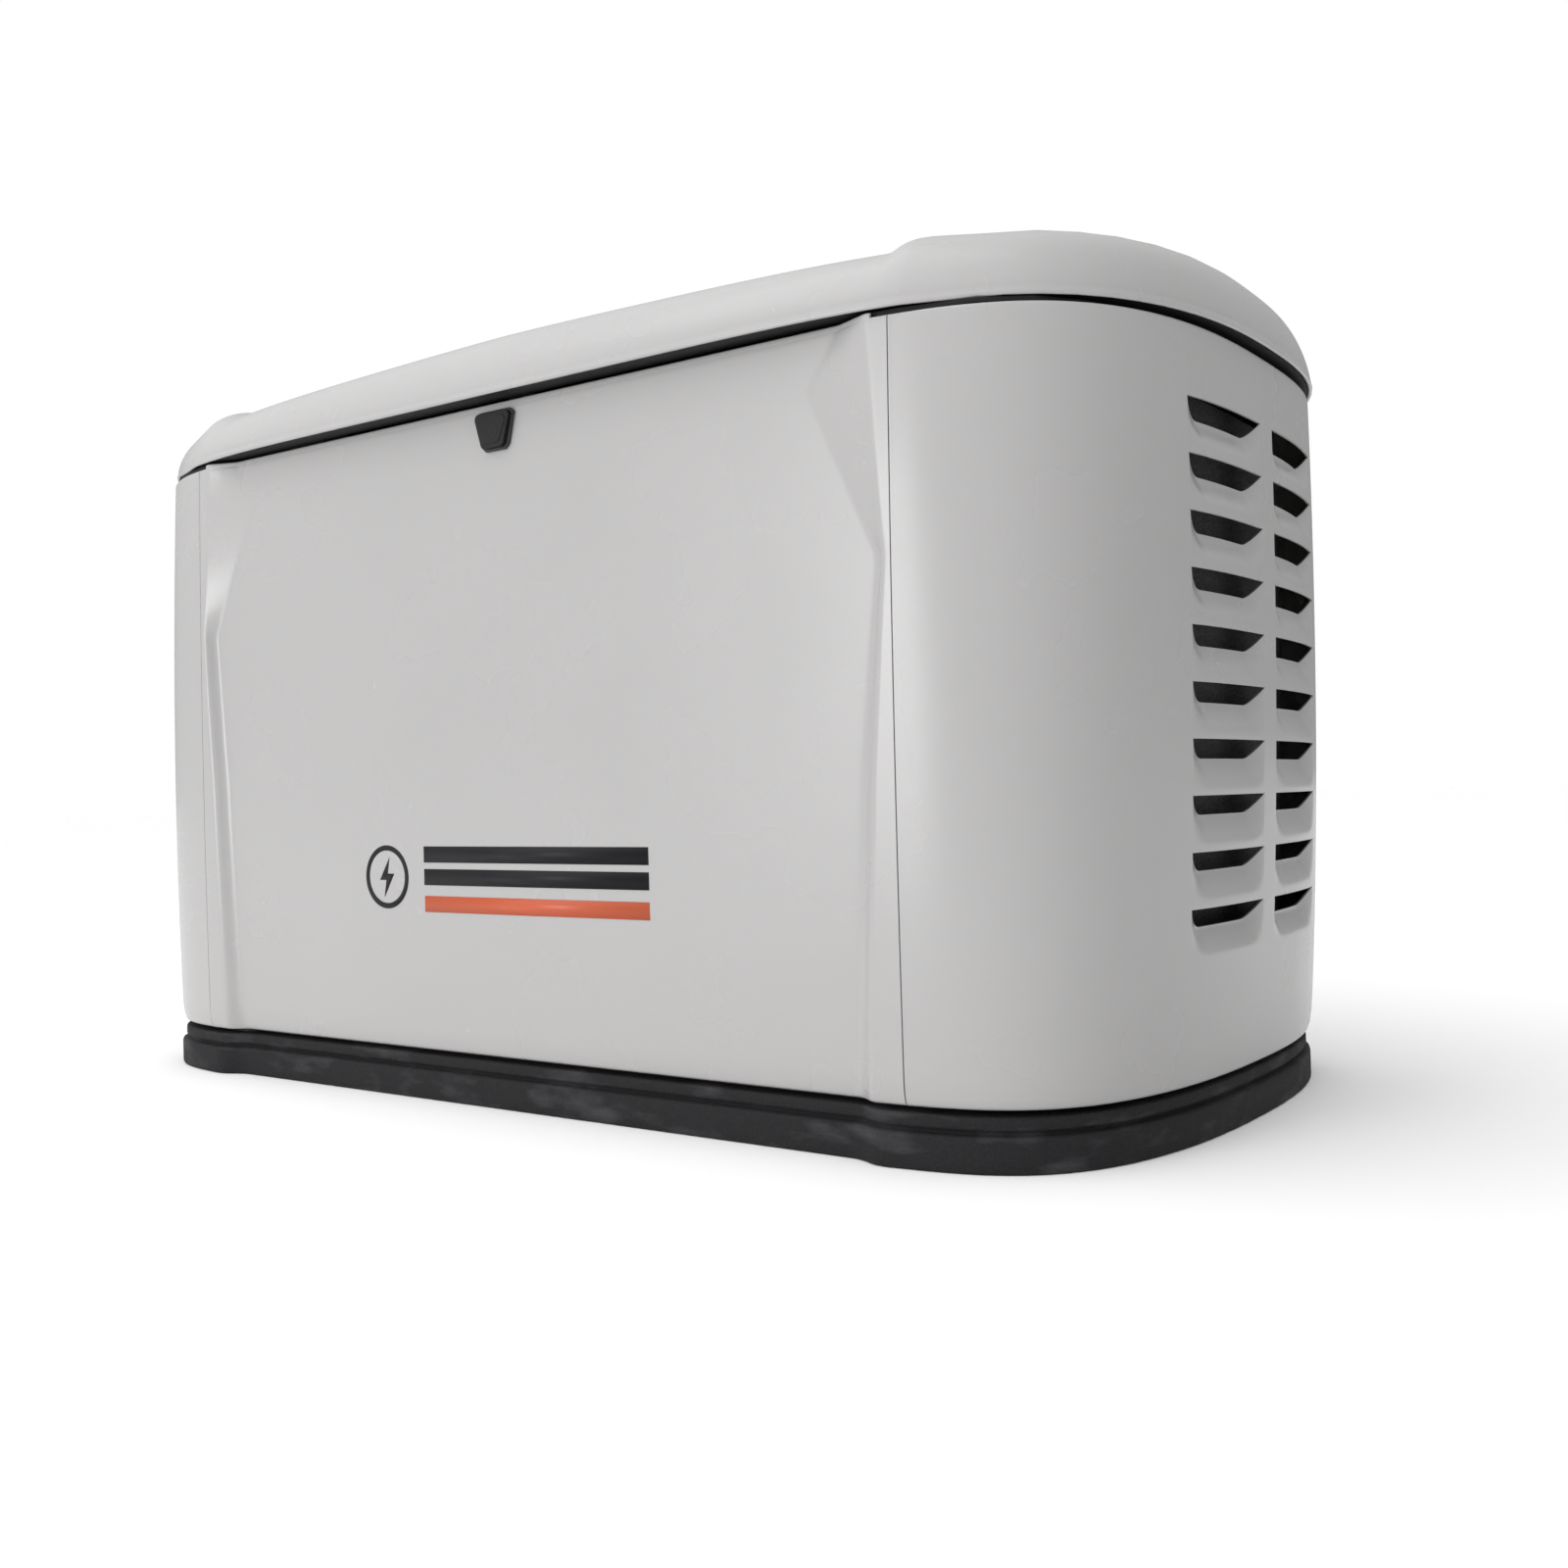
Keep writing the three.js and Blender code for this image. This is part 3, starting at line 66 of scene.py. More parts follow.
# ---- enclosure shape ----
SEAM_GAP = 0.8 * MM
SEAM_X = END_LOW.x - SEAM_GAP / 2
END_BULGE = 4.5 * MM
SIDE_BULGE = 3 * MM
TUCK = 3 * MM
TUCK_HEIGHT = 16 * MM
BODY_B = ROOF_B - 9 * MM
# Half length of the body and the two powers of its plan, at its bottom and at its top.
BODY_A = (END_HIGH.x - 8 * MM, END_HIGH.x + 6.6 * MM)
BODY_END_POWER, BODY_SIDE_POWER = (11, 7.5), (2.4, 2.7)
FRONT_RECESS = 13 * MM
# Height, then how far the inner and outer creases of the front's facets lie inside the seam, in mm.
FACETS = np.array(((45.7, 42, 32), (300, 30, 19), (454, 15, 7), (586, 79, 15), (630.5, 50, 19)))
WALL = 2.2 * MM
FOLD = 14 * MM
# Heights, and how far to each side the front's creases are rounded there, in mm.
CREASE_LEVELS, CREASE_ROUNDING = (46, 140, 420, 640), (11, 9, 4.5, 3.5)

ROOF_END_POWER, ROOF_SIDE_POWER = 6.5, 2.5
ROOF_EDGE_POWER, ROOF_EDGE_ROUND = 5.4, 0.757
HEM_HEIGHT = 7.5 * MM
SKIRT_HEIGHT = 41 * MM
CROWN_ALONG = 19.7 * MM
CROWN_ALONG_POWER = 1.375
CROWN_ACROSS = 10.5 * MM
CAP_STEP = 10 * MM
CAP_X = 415.7 * MM
CAP_SLOPE = 3.4 * MM
ROOF_WALL = 3 * MM

LOUVRE_ROWS = 10
LOUVRE_TOP = TOP - 56.5 * MM
LOUVRE_PITCH = 43.5 * MM
LOUVRE_SLOT = 15 * MM
LOUVRE_DISH = 9 * MM
LOUVRE_INNER, LOUVRE_OUTER = 14 * MM, 148 * MM
LOUVRE_TAPER = 26 * MM
BAFFLE_LOW, BAFFLE_HIGH = 96 * MM, 588 * MM
BAFFLE_REACH = 172 * MM
BAFFLE_DEPTHS = (30 * MM, 38 * MM)

# The pad's middle starts this far inside the seam, and narrows over this length.
WAIST_INSET, WAIST_SLOPE = 24 * MM, 21 * MM

# ---- smaller details, in mm ----
MARK_CENTRE = (-150, 207)
RING_INNER, RING_OUTER, RING_DEPTH = 25, 30, 0.7
BAR_LEFT, BAR_RIGHT, BAR_HEIGHT = -98, 176, 15
DARK_BARS, ORANGE_BAR = (221, 200), 175
# How far a film reaches into the front, and how far it stands out.
FILM_SUNK, FILM_PROUD = 0.4, 0.3
REAR_SLOT_LEFTS, REAR_SLOT_WIDTH = (-330, -210), 100
REAR_SLOT_ROWS, REAR_SLOT_LOWEST, REAR_SLOT_PITCH = 6, 180, 43.5
HOOD_MARGIN, CHEEK = 3, 2
ENTRY_BOLT_CIRCLE = 27
CRANK_Y, CRANK_Z = 20, 230
BLOWER_BOLT_CIRCLE, CARRIER_BOLT_CIRCLE = 108, 92
SCREW_LEVELS, SCREW_FROM_SEAM = (110, 340, 570), 11
# Edge rounding in mm for the nodes that keep their CAD shape.
PLAIN_EDGES = {
    "rear_panel": 0.6, "roof_seal": 0.8, "base_tray": 1.2, "divider_panel": 0.5, "engine_cradle": 2.0,
    **{"isolator_" + side + end: 0.8 for side in ("left", "right") for end in ("_front", "_rear")},
    "crankcase": 2.5, "cylinder_front": 0.9, "cylinder_rear": 0.9, "valve_cover_front": 3.0,
    "valve_cover_rear": 3.0, "crankshaft": 0.6, "flywheel_fan": 0.8, "alternator_rotor": 0.6,
    "blower_housing": 2.0, "alternator_stator": 1.5, "bearing_carrier": 1.2, "air_cleaner_box": 3.0,
    "air_cleaner_cover": 4.0, "intake_manifold": 1.5, "oil_filter": 1.0, "dipstick": 0.4,
    "starter_motor": 1.5, "oil_fill_cap": 1.2, "muffler": 2.0, "exhaust_pipe_front": 0.8,
    "exhaust_pipe_rear": 0.8, "fuel_regulator": 1.5, "fuel_selector_lever": 0.8, "fuel_inlet_pipe": 0.6,
    "battery": 2.0, "control_box": 1.5, "button_auto": 0.8, "button_off": 0.8, "button_manual": 0.8, "main_breaker": 1.0,
    "breaker_lever": 1.0,
}

# ---- camera, fitted to the photo ----
CAMERA_PLACE = (1.031, -1.302, 0.280)
CAMERA_YAW, CAMERA_PITCH, CAMERA_ROLL = 35.52, 0.26, -1.28
CAMERA_LENS = 36.225


# ---- node materials ----
def add(tree, kind, inputs=None, **settings):
    """A shader node with its settings, and its inputs linked or set."""
    node = tree.nodes.new(kind)
    for key, value in settings.items():
        setattr(node, key, value)
    for key, value in (inputs or {}).items():
        if isinstance(value, bpy.types.NodeSocket):
            tree.links.new(value, node.inputs[key])
        else:
            node.inputs[key].default_value = value
    return node


def grown(tree, scale, detail=4, stretch=(1, 1, 1), kind="ShaderNodeTexNoise"):
    """A noise or cell texture in the object's own coordinates."""
    place = add(tree, "ShaderNodeTexCoord").outputs["Object"]
    scaled = add(tree, "ShaderNodeMapping", {"Vector": place, "Scale": stretch}).outputs["Vector"]
    inputs = {"Vector": scaled, "Scale": scale}
    if kind == "ShaderNodeTexNoise":
        inputs["Detail"] = detail
    return add(tree, kind, inputs)


def ramp(tree, factor, low, high, start=0.0, end=1.0):
    """A smooth change from one value to another as the factor goes from start to end."""
    inputs = {"Value": factor, "From Min": start, "From Max": end, "To Min": low, "To Max": high}
    return add(tree, "ShaderNodeMapRange", inputs, clamp=True).outputs["Result"]


def blend_colors(tree, factor, first, second):
    """A mix of two colours, each a value or another node's output."""
    node = add(tree, "ShaderNodeMix", data_type="RGBA")
    tree.links.new(factor, node.inputs[0])
    for socket, value in ((node.inputs[6], first), (node.inputs[7], second)):
        if isinstance(value, bpy.types.NodeSocket):
            tree.links.new(value, socket)
        else:
            socket.default_value = (*value, 1)
    return node.outputs[2]


def bumps(tree, layers):
    """Bump nodes in a chain, from (height, depth in metres, strength)."""
    normal = None
    for height, depth, strength in layers:
        inputs = {"Height": height, "Distance": depth, "Strength": strength}
        if normal is not None:
            inputs["Normal"] = normal
        normal = add(tree, "ShaderNodeBump", inputs).outputs["Normal"]
    return normal


def start_material(name, metallic=0.0, **fixed):
    """A new material with its tree and shader. The fixed inputs are named with underscores."""
    material = bpy.data.materials.new(name)
    material.use_nodes = True
    shader = material.node_tree.nodes["Principled BSDF"]
    shader.inputs["Metallic"].default_value = metallic
    for key, value in fixed.items():
        shader.inputs[key.replace("_", " ")].default_value = value
    return material, material.node_tree, shader


def finish_surface(tree, shader, color, roughness, normal):
    tree.links.new(color, shader.inputs["Base Color"])
    tree.links.new(roughness, shader.inputs["Roughness"])
    tree.links.new(normal, shader.inputs["Normal"])


def shade(color, share):
    return tuple(channel * share for channel in color)


def coated(name, color, roughness, grain, depth, variation=0.06, metallic=0.0, dust=0.0, **fixed):
    """Paint, plastic or rubber: slow tone changes, fine grain, scuffs and some dust towards the bottom."""
    material, tree, shader = start_material(name, metallic, **fixed)
    tone = grown(tree, 6, 3).outputs["Fac"]
    fine = grown(tree, grain, 2).outputs["Fac"]
    darker, lighter = shade(color, 1 - variation), shade(color, 1 + variation)
    base = blend_colors(tree, ramp(tree, tone, 0, 1, 0.3, 0.7), darker, lighter)
    speck = grown(tree, grain * 0.4, 2).outputs["Fac"]
    base = blend_colors(tree, ramp(tree, speck, 0, 0.5, 0.55, 0.75), base, shade(color, 1 - 2 * variation))
    if dust:
        place = add(tree, "ShaderNodeTexCoord").outputs["Object"]
        height = add(tree, "ShaderNodeSeparateXYZ", {"Vector": place}).outputs["Z"]
        low = ramp(tree, height, dust, 0, 0.05, 0.2)
        patch = grown(tree, 25, 5).outputs["Fac"]
        amount = add(tree, "ShaderNodeMath", {0: low, 1: patch}, operation="MULTIPLY").outputs[0]
        base = blend_colors(tree, amount, base, (0.42, 0.39, 0.34))
    scuff = grown(tree, 9, 3).outputs["Fac"]
    rough = ramp(tree, scuff, roughness * 0.92, roughness * 1.1, 0.35, 0.65)
    normal = bumps(tree, ((fine, depth, 0.6), (tone, 4 * depth, 0.15)))
    finish_surface(tree, shader, base, rough, normal)
    return material


def cast_composite():
    """Rough cast composite of the pad, with pale drag marks and open pores."""
    material, tree, shader = start_material("cast_composite", Specular_IOR_Level=0.28)
    grain = grown(tree, 900, 6).outputs["Fac"]
    marks = grown(tree, 18, 5, (1, 1, 3)).outputs["Fac"]
    pores = grown(tree, 320, kind="ShaderNodeTexVoronoi").outputs["Distance"]
    base = blend_colors(tree, ramp(tree, grain, 0, 1, 0.3, 0.7), (0.005, 0.005, 0.006), (0.018, 0.018, 0.020))
    base = blend_colors(tree, ramp(tree, marks, 0, 0.75, 0.52, 0.72), base, (0.05, 0.049, 0.053))
    base = blend_colors(tree, ramp(tree, pores, 0.8, 0, 0.03, 0.12), base, (0.004, 0.004, 0.005))
    rough = ramp(tree, grain, 0.6, 0.95)
    normal = bumps(tree, ((grain, 0.9 * MM, 0.8), (marks, 2.5 * MM, 0.5), (pores, 0.6 * MM, 0.5)))
    finish_surface(tree, shader, base, rough, normal)
    return material


def open_foam(name, color):
    """Open-cell foam."""
    material, tree, shader = start_material(name)
    cells = grown(tree, 420, kind="ShaderNodeTexVoronoi").outputs["Distance"]
    tone = grown(tree, 12, 4).outputs["Fac"]
    base = blend_colors(tree, ramp(tree, cells, 0, 1, 0.1, 0.6), shade(color, 0.35), shade(color, 1.3))
    base = blend_colors(tree, ramp(tree, tone, 0, 0.35, 0.45, 0.7), base, shade(color, 1.9))
    normal = bumps(tree, ((cells, 0.9 * MM, 0.9), (tone, 2 * MM, 0.3)))
    finish_surface(tree, shader, base, ramp(tree, cells, 0.98, 0.85), normal)
    return material


def bare_metal(name, color, roughness, grain, depth, stretch=(1, 1, 1), spangle=0.0, stain=None):
    """Bare metal with its grain, and crystals or heat stains where it has them."""
    material, tree, shader = start_material(name, 1.0)
    lines = grown(tree, grain, 5, stretch).outputs["Fac"]
    tone = grown(tree, 14, 4).outputs["Fac"]
    base = blend_colors(tree, ramp(tree, lines, 0, 1, 0.3, 0.7), shade(color, 0.86), shade(color, 1.1))
    if spangle:
        crystal = grown(tree, 160, kind="ShaderNodeTexVoronoi").outputs["Color"]
        level = add(tree, "ShaderNodeSeparateColor", {"Color": crystal}).outputs[0]
        base = blend_colors(tree, ramp(tree, level, 0, spangle), base, shade(color, 0.6))
    if stain:
        base = blend_colors(tree, ramp(tree, tone, 0, 0.9, 0.42, 0.66), base, stain)
    rough = ramp(tree, tone, roughness * 0.75, roughness * 1.3, 0.3, 0.7)
    finish_surface(tree, shader, base, rough, bumps(tree, ((lines, depth, 0.5), (tone, 3 * depth, 0.2))))
    return material


def cast_metal():
    """As-cast alloy: pebbled skin, grey oxide and a little oil in the hollows."""
    material, tree, shader = start_material("cast_metal", 0.9)
    pebbles = grown(tree, 520, 3).outputs["Fac"]
    tone = grown(tree, 16, 5).outputs["Fac"]
    base = blend_colors(tree, ramp(tree, pebbles, 0, 1, 0.3, 0.7), (0.30, 0.305, 0.31), (0.46, 0.465, 0.47))
    base = blend_colors(tree, ramp(tree, tone, 0, 0.5, 0.5, 0.75), base, (0.17, 0.16, 0.145))
    normal = bumps(tree, ((pebbles, 0.35 * MM, 0.6), (tone, 1 * MM, 0.2)))
    finish_surface(tree, shader, base, ramp(tree, pebbles, 0.36, 0.58), normal)
    return material


def winding():
    """Varnished copper windings: close turns along the shaft."""
    material, tree, shader = start_material("varnished_winding", 0.3)
    place = add(tree, "ShaderNodeTexCoord").outputs["Object"]
    turns = add(tree, "ShaderNodeTexWave", {"Vector": place, "Scale": 260, "Distortion": 1.2, "Detail": 2},
                bands_direction="X").outputs["Fac"]
    base = blend_colors(tree, turns, (0.07, 0.016, 0.008), (0.34, 0.11, 0.05))
    normal = bumps(tree, ((turns, 0.6 * MM, 0.8),))
    finish_surface(tree, shader, base, ramp(tree, turns, 0.5, 0.3), normal)
    return material


def laminated():
    """Steel laminations of the stator, stacked along the shaft."""
    material, tree, shader = start_material("laminated_steel", 0.8)
    place = add(tree, "ShaderNodeTexCoord").outputs["Object"]
    sheets = add(tree, "ShaderNodeTexWave", {"Vector": place, "Scale": 320, "Distortion": 0.3},
                 bands_direction="X").outputs["Fac"]
    tone = grown(tree, 20, 4).outputs["Fac"]
    base = blend_colors(tree, sheets, (0.07, 0.07, 0.072), (0.2, 0.2, 0.205))
    base = blend_colors(tree, ramp(tree, tone, 0, 0.5, 0.5, 0.7), base, (0.16, 0.10, 0.06))
    finish_surface(tree, shader, base, ramp(tree, sheets, 0.6, 0.42), bumps(tree, ((sheets, 0.3 * MM, 0.6),)))
    return material


MATERIAL = {
    "panel_paint": coated("grey_powder_coat", (0.40, 0.394, 0.393), 0.26, 700, 0.008 * MM, 0.008, dust=0.05),
    "composite": cast_composite(),
    "black_paint": coated("black_enamel", (0.022, 0.022, 0.024), 0.42, 1200, 0.05 * MM, 0.2, dust=0.2),
    "rubber": coated("black_rubber", (0.005, 0.005, 0.006), 0.6, 1600, 0.06 * MM, 0.2,
                     Specular_IOR_Level=0.3),
    "foam": open_foam("sound_foam", (0.03, 0.03, 0.033)),
    "zinc": bare_metal("zinc_plate", (0.52, 0.52, 0.50), 0.38, 300, 0.03 * MM, spangle=0.35),
    "steel": bare_metal("ground_steel", (0.46, 0.46, 0.47), 0.28, 220, 0.04 * MM, (0.15, 1, 1)),
    "cast_alloy": cast_metal(),
    "black_plastic": coated("black_plastic", (0.019, 0.019, 0.021), 0.5, 1800, 0.07 * MM, 0.15),
    "rotor_copper": winding(),
    "exhaust_steel": bare_metal("heat_stained_steel", (0.36, 0.32, 0.27), 0.42, 260, 0.05 * MM, (1, 1, 0.3),
                                stain=(0.16, 0.10, 0.07)),
    "filter_paint": coated("filter_enamel", (0.02, 0.03, 0.05), 0.25, 1400, 0.03 * MM, 0.12),
    "yellow_plastic": coated("yellow_plastic", (0.72, 0.38, 0.02), 0.4, 1500, 0.04 * MM, 0.05),
    "red_plastic": coated("red_plastic", (0.42, 0.02, 0.015), 0.4, 1500, 0.04 * MM, 0.06),
    "green_plastic": coated("green_plastic", (0.03, 0.22, 0.06), 0.4, 1500, 0.04 * MM, 0.06),
    "white_plastic": coated("white_plastic", (0.62, 0.62, 0.60), 0.42, 1500, 0.04 * MM, 0.03),
}
LAMINATED = laminated()
ORANGE_FILM = coated("orange_film", (0.50, 0.085, 0.028), 0.38, 1400, 0.02 * MM, 0.02)
DARK_FILM = coated("dark_film", (0.005, 0.005, 0.007), 0.45, 1400, 0.02 * MM, 0.05, Specular_IOR_Level=0.25)


def dress_nodes():
    """Every CAD node takes its slot's material."""
    for part in frame["record"]["subparts"]:
        node = frame["nodes"].get(part["node"])
        if node is None:
            continue
        node.data.materials.clear()
        node.data.materials.append(MATERIAL[part["material_slot"]])


# ---- making pieces ----
def register(obj, body, slot, replaces=(), material=None):
    """Puts a new piece in the scene with its material and its body, and hides the nodes it stands for."""
    bpy.context.scene.collection.objects.link(obj)
    obj.data.materials.append(material or MATERIAL[slot])
    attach(obj, body)
    if replaces:
        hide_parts(*replaces)
    return obj


def mesh_piece(name, verts, faces, body, slot, replaces=(), merge=0.0, material=None):
    mesh = bpy.data.meshes.new(name)
    mesh.from_pydata([tuple(v) for v in verts], [], faces)
    if merge:
        work = bmesh.new()
        work.from_mesh(mesh)
        bmesh.ops.remove_doubles(work, verts=work.verts, dist=merge)
        work.to_mesh(mesh)
        work.free()
    mesh.shade_smooth()
    return register(bpy.data.objects.new(name, mesh), body, slot, replaces, material)


def add_grid(verts, faces, points, flip=False):
    """Adds a grid of points, row by row, and the faces between them."""
    start = len(verts)
    rows, cols = points.shape[:2]
    verts.extend(map(tuple, points.reshape(-1, 3)))
    for r in range(rows - 1):
        for c in range(cols - 1):
            a = start + r * cols + c
            face = (a, a + cols, a + cols + 1, a + 1)
            faces.append(face[::-1] if flip else face)


def join_rings(faces, rings):
    """Adds a band of faces between each closed ring of points and the next."""
    for first, second in zip(rings, rings[1:]):
        for k in range(len(first)):
            n = (k + 1) % len(first)
            faces.append((first[k], first[n], second[n], second[k]))


def face_outwards(obj):
    """Turns every face of a closed mesh outwards."""
    work = bmesh.new()
    work.from_mesh(obj.data)
    bmesh.ops.recalc_face_normals(work, faces=work.faces)
    work.to_mesh(obj.data)
    work.free()


def tidy_normals(obj):
    """Turns a closed mesh's faces outwards and keeps its sharp edges sharp."""
    face_outwards(obj)
    obj.data.set_sharp_from_angle(angle=math.radians(50))


def thicken(obj, wall):
    """Gives a sheet its wall, inwards from its surface."""
    solid = obj.modifiers.new("wall", "SOLIDIFY")
    solid.thickness = wall
    solid.offset = -1


def round_edges(obj, width):
    """Rounds an object's sharp edges and evens its shading."""
    bevel = obj.modifiers.new("rounded", "BEVEL")
    bevel.width = width
    bevel.segments = 2
    bevel.limit_method = "ANGLE"
    bevel.angle_limit = math.radians(38)
    bevel.use_clamp_overlap = True
    shading = obj.modifiers.new("shading", "WEIGHTED_NORMAL")
    shading.keep_sharp = True


# ---- enclosure panels ----
def swell(z):
    """How far the body swells at a height, from 0 at its edges to 1 in the middle."""
    middle = (BOTTOM + TOP) / 2
    return np.maximum(0, 1 - ((z - middle) / (TOP - middle)) ** 2)


def body_plan(z):
    """The body's half length, half depth and two powers at a height: rounder towards its top."""
    share = min(max((z - BOTTOM) / (TOP - BOTTOM), 0), 1)
    tuck = TUCK * max(0, 1 - (z - BOTTOM) / TUCK_HEIGHT) ** 2
    a = BODY_A[0] + (BODY_A[1] - BODY_A[0]) * share ** 0.7 + END_BULGE * swell(z) - tuck
    p, q = (low + (high - low) * share for low, high in (BODY_END_POWER, BODY_SIDE_POWER))
    low_p, low_q = BODY_END_POWER[0], BODY_SIDE_POWER[0]
    seam_y = side_reach(z) * (1 - (SEAM_X / BODY_A[0]) ** low_p) ** (1 / low_q)
    return a, seam_y / (1 - (SEAM_X / a) ** p) ** (1 / q), p, q


def side_reach(z):
    """Half the body's depth at its seams, before the rounding of its ends."""
    return BODY_B + SIDE_BULGE * swell(z) - TUCK * np.maximum(0, 1 - (z - BOTTOM) / TUCK_HEIGHT) ** 2


def end_point(angle, z, depth):
    """A point of the rounded end at an angle round its superellipse, moved inwards by a depth."""
    a, b, p, q = body_plan(z)
    c, s = math.cos(angle), math.sin(angle)
    x = a * c ** (2 / p)
    y = b * math.copysign(abs(s) ** (2 / q), s)
    nx = p * (x / a) ** (p - 1) / a
    ny = q * math.copysign(abs(y / b) ** (q - 1), y) / b
    length = math.hypot(nx, ny)
    return x - depth * nx / length, y - depth * ny / length


def angle_at_y(y, z):
    """The angle round an end at which its surface lies at a given Y."""
    _, b, _, q = body_plan(z)
    return math.copysign(math.asin((abs(y) / b) ** (q / 2)), y)


def angle_at_seam(z):
    """The angle round an end at which it meets the front or the rear."""
    a, _, p, _ = body_plan(z)
    return math.acos((SEAM_X / a) ** (p / 2))


def louvre_taper(y):
    """How open a louvre is at a depth across the end, from 0 at its ends to 1 in the middle."""
    inside = min(abs(y) - LOUVRE_INNER, LOUVRE_OUTER - abs(y))
    share = min(max(inside / LOUVRE_TAPER, 0), 1)
    return 1 - (1 - share) ** 1.7


def end_columns():
    """Depths across the louvred middle of an end, finer where the louvres taper."""
    taper = [LOUVRE_INNER + LOUVRE_TAPER * t for t in (0, 0.04, 0.12, 0.25, 0.4, 0.55, 0.7, 0.85, 1, 1.15)]
    far = [LOUVRE_INNER + LOUVRE_OUTER - y for y in reversed(taper)]
    plain = list(np.linspace(taper[-1], far[0], 9)[1:-1])
    half = [0, LOUVRE_INNER / 2, *taper, *plain, *far]
    return [-y for y in reversed(half[1:])] + half


def edge_rows(z_edge, sign, flange):
    """(height, depth) down a folded edge, from its flange out to the wall."""
    fold = ((0, flange), (0, 3), (0.3, 1.4), (1.2, 0.4), (2.6, 0))
    return [(z_edge + sign * dz * MM, depth * MM) for dz, depth in fold]


def end_strips():
    """Strips of an end panel from top to bottom: each is a list of (height, flange depth, louvre share)."""
    tops = [LOUVRE_TOP - row * LOUVRE_PITCH for row in range(LOUVRE_ROWS)]
    first = edge_rows(TOP, -1, 12) + [(z, 0) for z in np.linspace(TOP - 8 * MM, tops[0], 6)]
    strips = [[(z, depth, 0) for z, depth in first]]
    shares = (0, 0.02, 0.07, 0.14, 0.22, 0.31, 0.41, 0.52, 0.64, 0.76, 0.88, 1)
    for row, top in enumerate(tops):
        bottom = tops[row + 1] if row + 1 < len(tops) else top - LOUVRE_PITCH
        strips.append([(top + (bottom - top) * share, 0, 1 - share) for share in shares])
    last = tops[-1] - LOUVRE_PITCH
    down = [(z, 0) for z in np.linspace(last, BOTTOM + 8 * MM, 8)] + edge_rows(BOTTOM, 1, 13.5)[::-1]
    strips.append([(z, depth, 0) for z, depth in down])
    return strips


def dish(share):
    """How deep a louvre's pane lies, from 1 at its top to 0 where it meets the wall again."""
    t = min(max((1 - share) / 0.78, 0), 1)
    return 1 - t * t * (3 - 2 * t)


def end_panel(side, name):
    """A rounded end of the enclosure, folded at its seams and edges, with its louvres pressed in."""
    columns = end_columns()
    corner = np.linspace(0, 1, 27)[1:]
    verts, faces = [], []
    for strip in end_strips():
        rows = []
        for z, depth, share in strip:
            reach = angle_at_seam(z)
            edge = angle_at_y(columns[-1], z)
            angles = [-(edge + (reach - edge) * t) for t in corner[::-1]]
            angles += [angle_at_y(y, z) for y in columns]
            angles += [edge + (reach - edge) * t for t in corner]
            points = []
            for index, angle in enumerate(angles):
                along = index - len(corner)
                louvred = share and 0 <= along < len(columns)
                open_share = louvre_taper(columns[along]) if louvred else 0
                drop = LOUVRE_SLOT * open_share * share
                sunk = LOUVRE_DISH * open_share * dish(share)
                px, py = end_point(angle, z - drop, depth + sunk)
                points.append((px, py, z - drop))
            rows.append(fold_seam(points, depth))
        grid = np.array(rows)
        grid[:, :, 0] *= side
        add_grid(verts, faces, grid, flip=side < 0)
    panel = mesh_piece(name + "_skin", verts, faces, "chassis", "panel_paint", (name,), merge=1e-5)
    thicken(panel, WALL)
    round_edges(panel, 0.5 * MM)


def fold_seam(points, depth):
    """A row with its folded returns at both seams. Inside a flange the returns shrink to nothing."""
    near, far = points[0], points[-1]
    size = FOLD if depth == 0 else 0
    slope = 0.6 * MM if depth == 0 else 0
    start = [(near[0] + slope, near[1] + size, near[2]), (near[0] + slope / 3, near[1] + slope, near[2])]
    end = [(far[0] + slope / 3, far[1] - slope, far[2]), (far[0] + slope, far[1] - size, far[2])]
    return [*start, *points, *end]


def facet_at(z):
    """The inner and outer creases' distances from the middle at a height."""
    level = z / MM
    inner, outer = (np.interp(level, FACETS[:, 0], FACETS[:, column]) * MM for column in (1, 2))
    return SEAM_X - inner, SEAM_X - outer


def sharp_front(x, z):
    """The front's Y before its creases are rounded."""
    a, b, p, q = body_plan(z)
    plane = side_reach(z) - FRONT_RECESS
    inner, outer = facet_at(z)
    along = abs(x)
    if along <= inner:
        return -plane
    edge = b * (1 - (max(along, outer) / a) ** p) ** (1 / q)
    if along >= outer:
        return -edge
    share = (along - inner) / (outer - inner)
    return -(plane * (1 - share) + edge * share)


def front_y(x, z, depth=0.0):
    """The front's Y, with its creases rounded more softly towards the bottom."""
    soft = np.interp(z / MM, CREASE_LEVELS, CREASE_ROUNDING) * MM
    steps = np.linspace(-1, 1, 9)
    weights = 1.1 - np.abs(steps)
    limit = SEAM_X - 0.1 * MM
    values = [sharp_front(min(max(x + soft * t, -limit), limit), z) for t in steps]
    return float(np.dot(values, weights) / weights.sum()) + depth


def front_columns(z):
    """X positions across the front at a height, close together round its creases."""
    inner, outer = facet_at(z)
    edge = SEAM_X - SEAM_GAP
    around = np.array((-14, -10, -7, -4.5, -2.5, 0, 2.5, 4.5, 7)) * MM
    half = [*np.linspace(0, inner - 18 * MM, 22), *(inner + around), *np.linspace(inner, outer, 7)[3:-2],
            *(outer + np.array((-4.5, -2.5, -1, 0, 1, 2.5, 4.5)) * MM), edge - 0.8 * MM, edge]
    half = sorted(min(max(x, 0), edge) for x in half)
    return [-x for x in reversed(half[1:])] + half


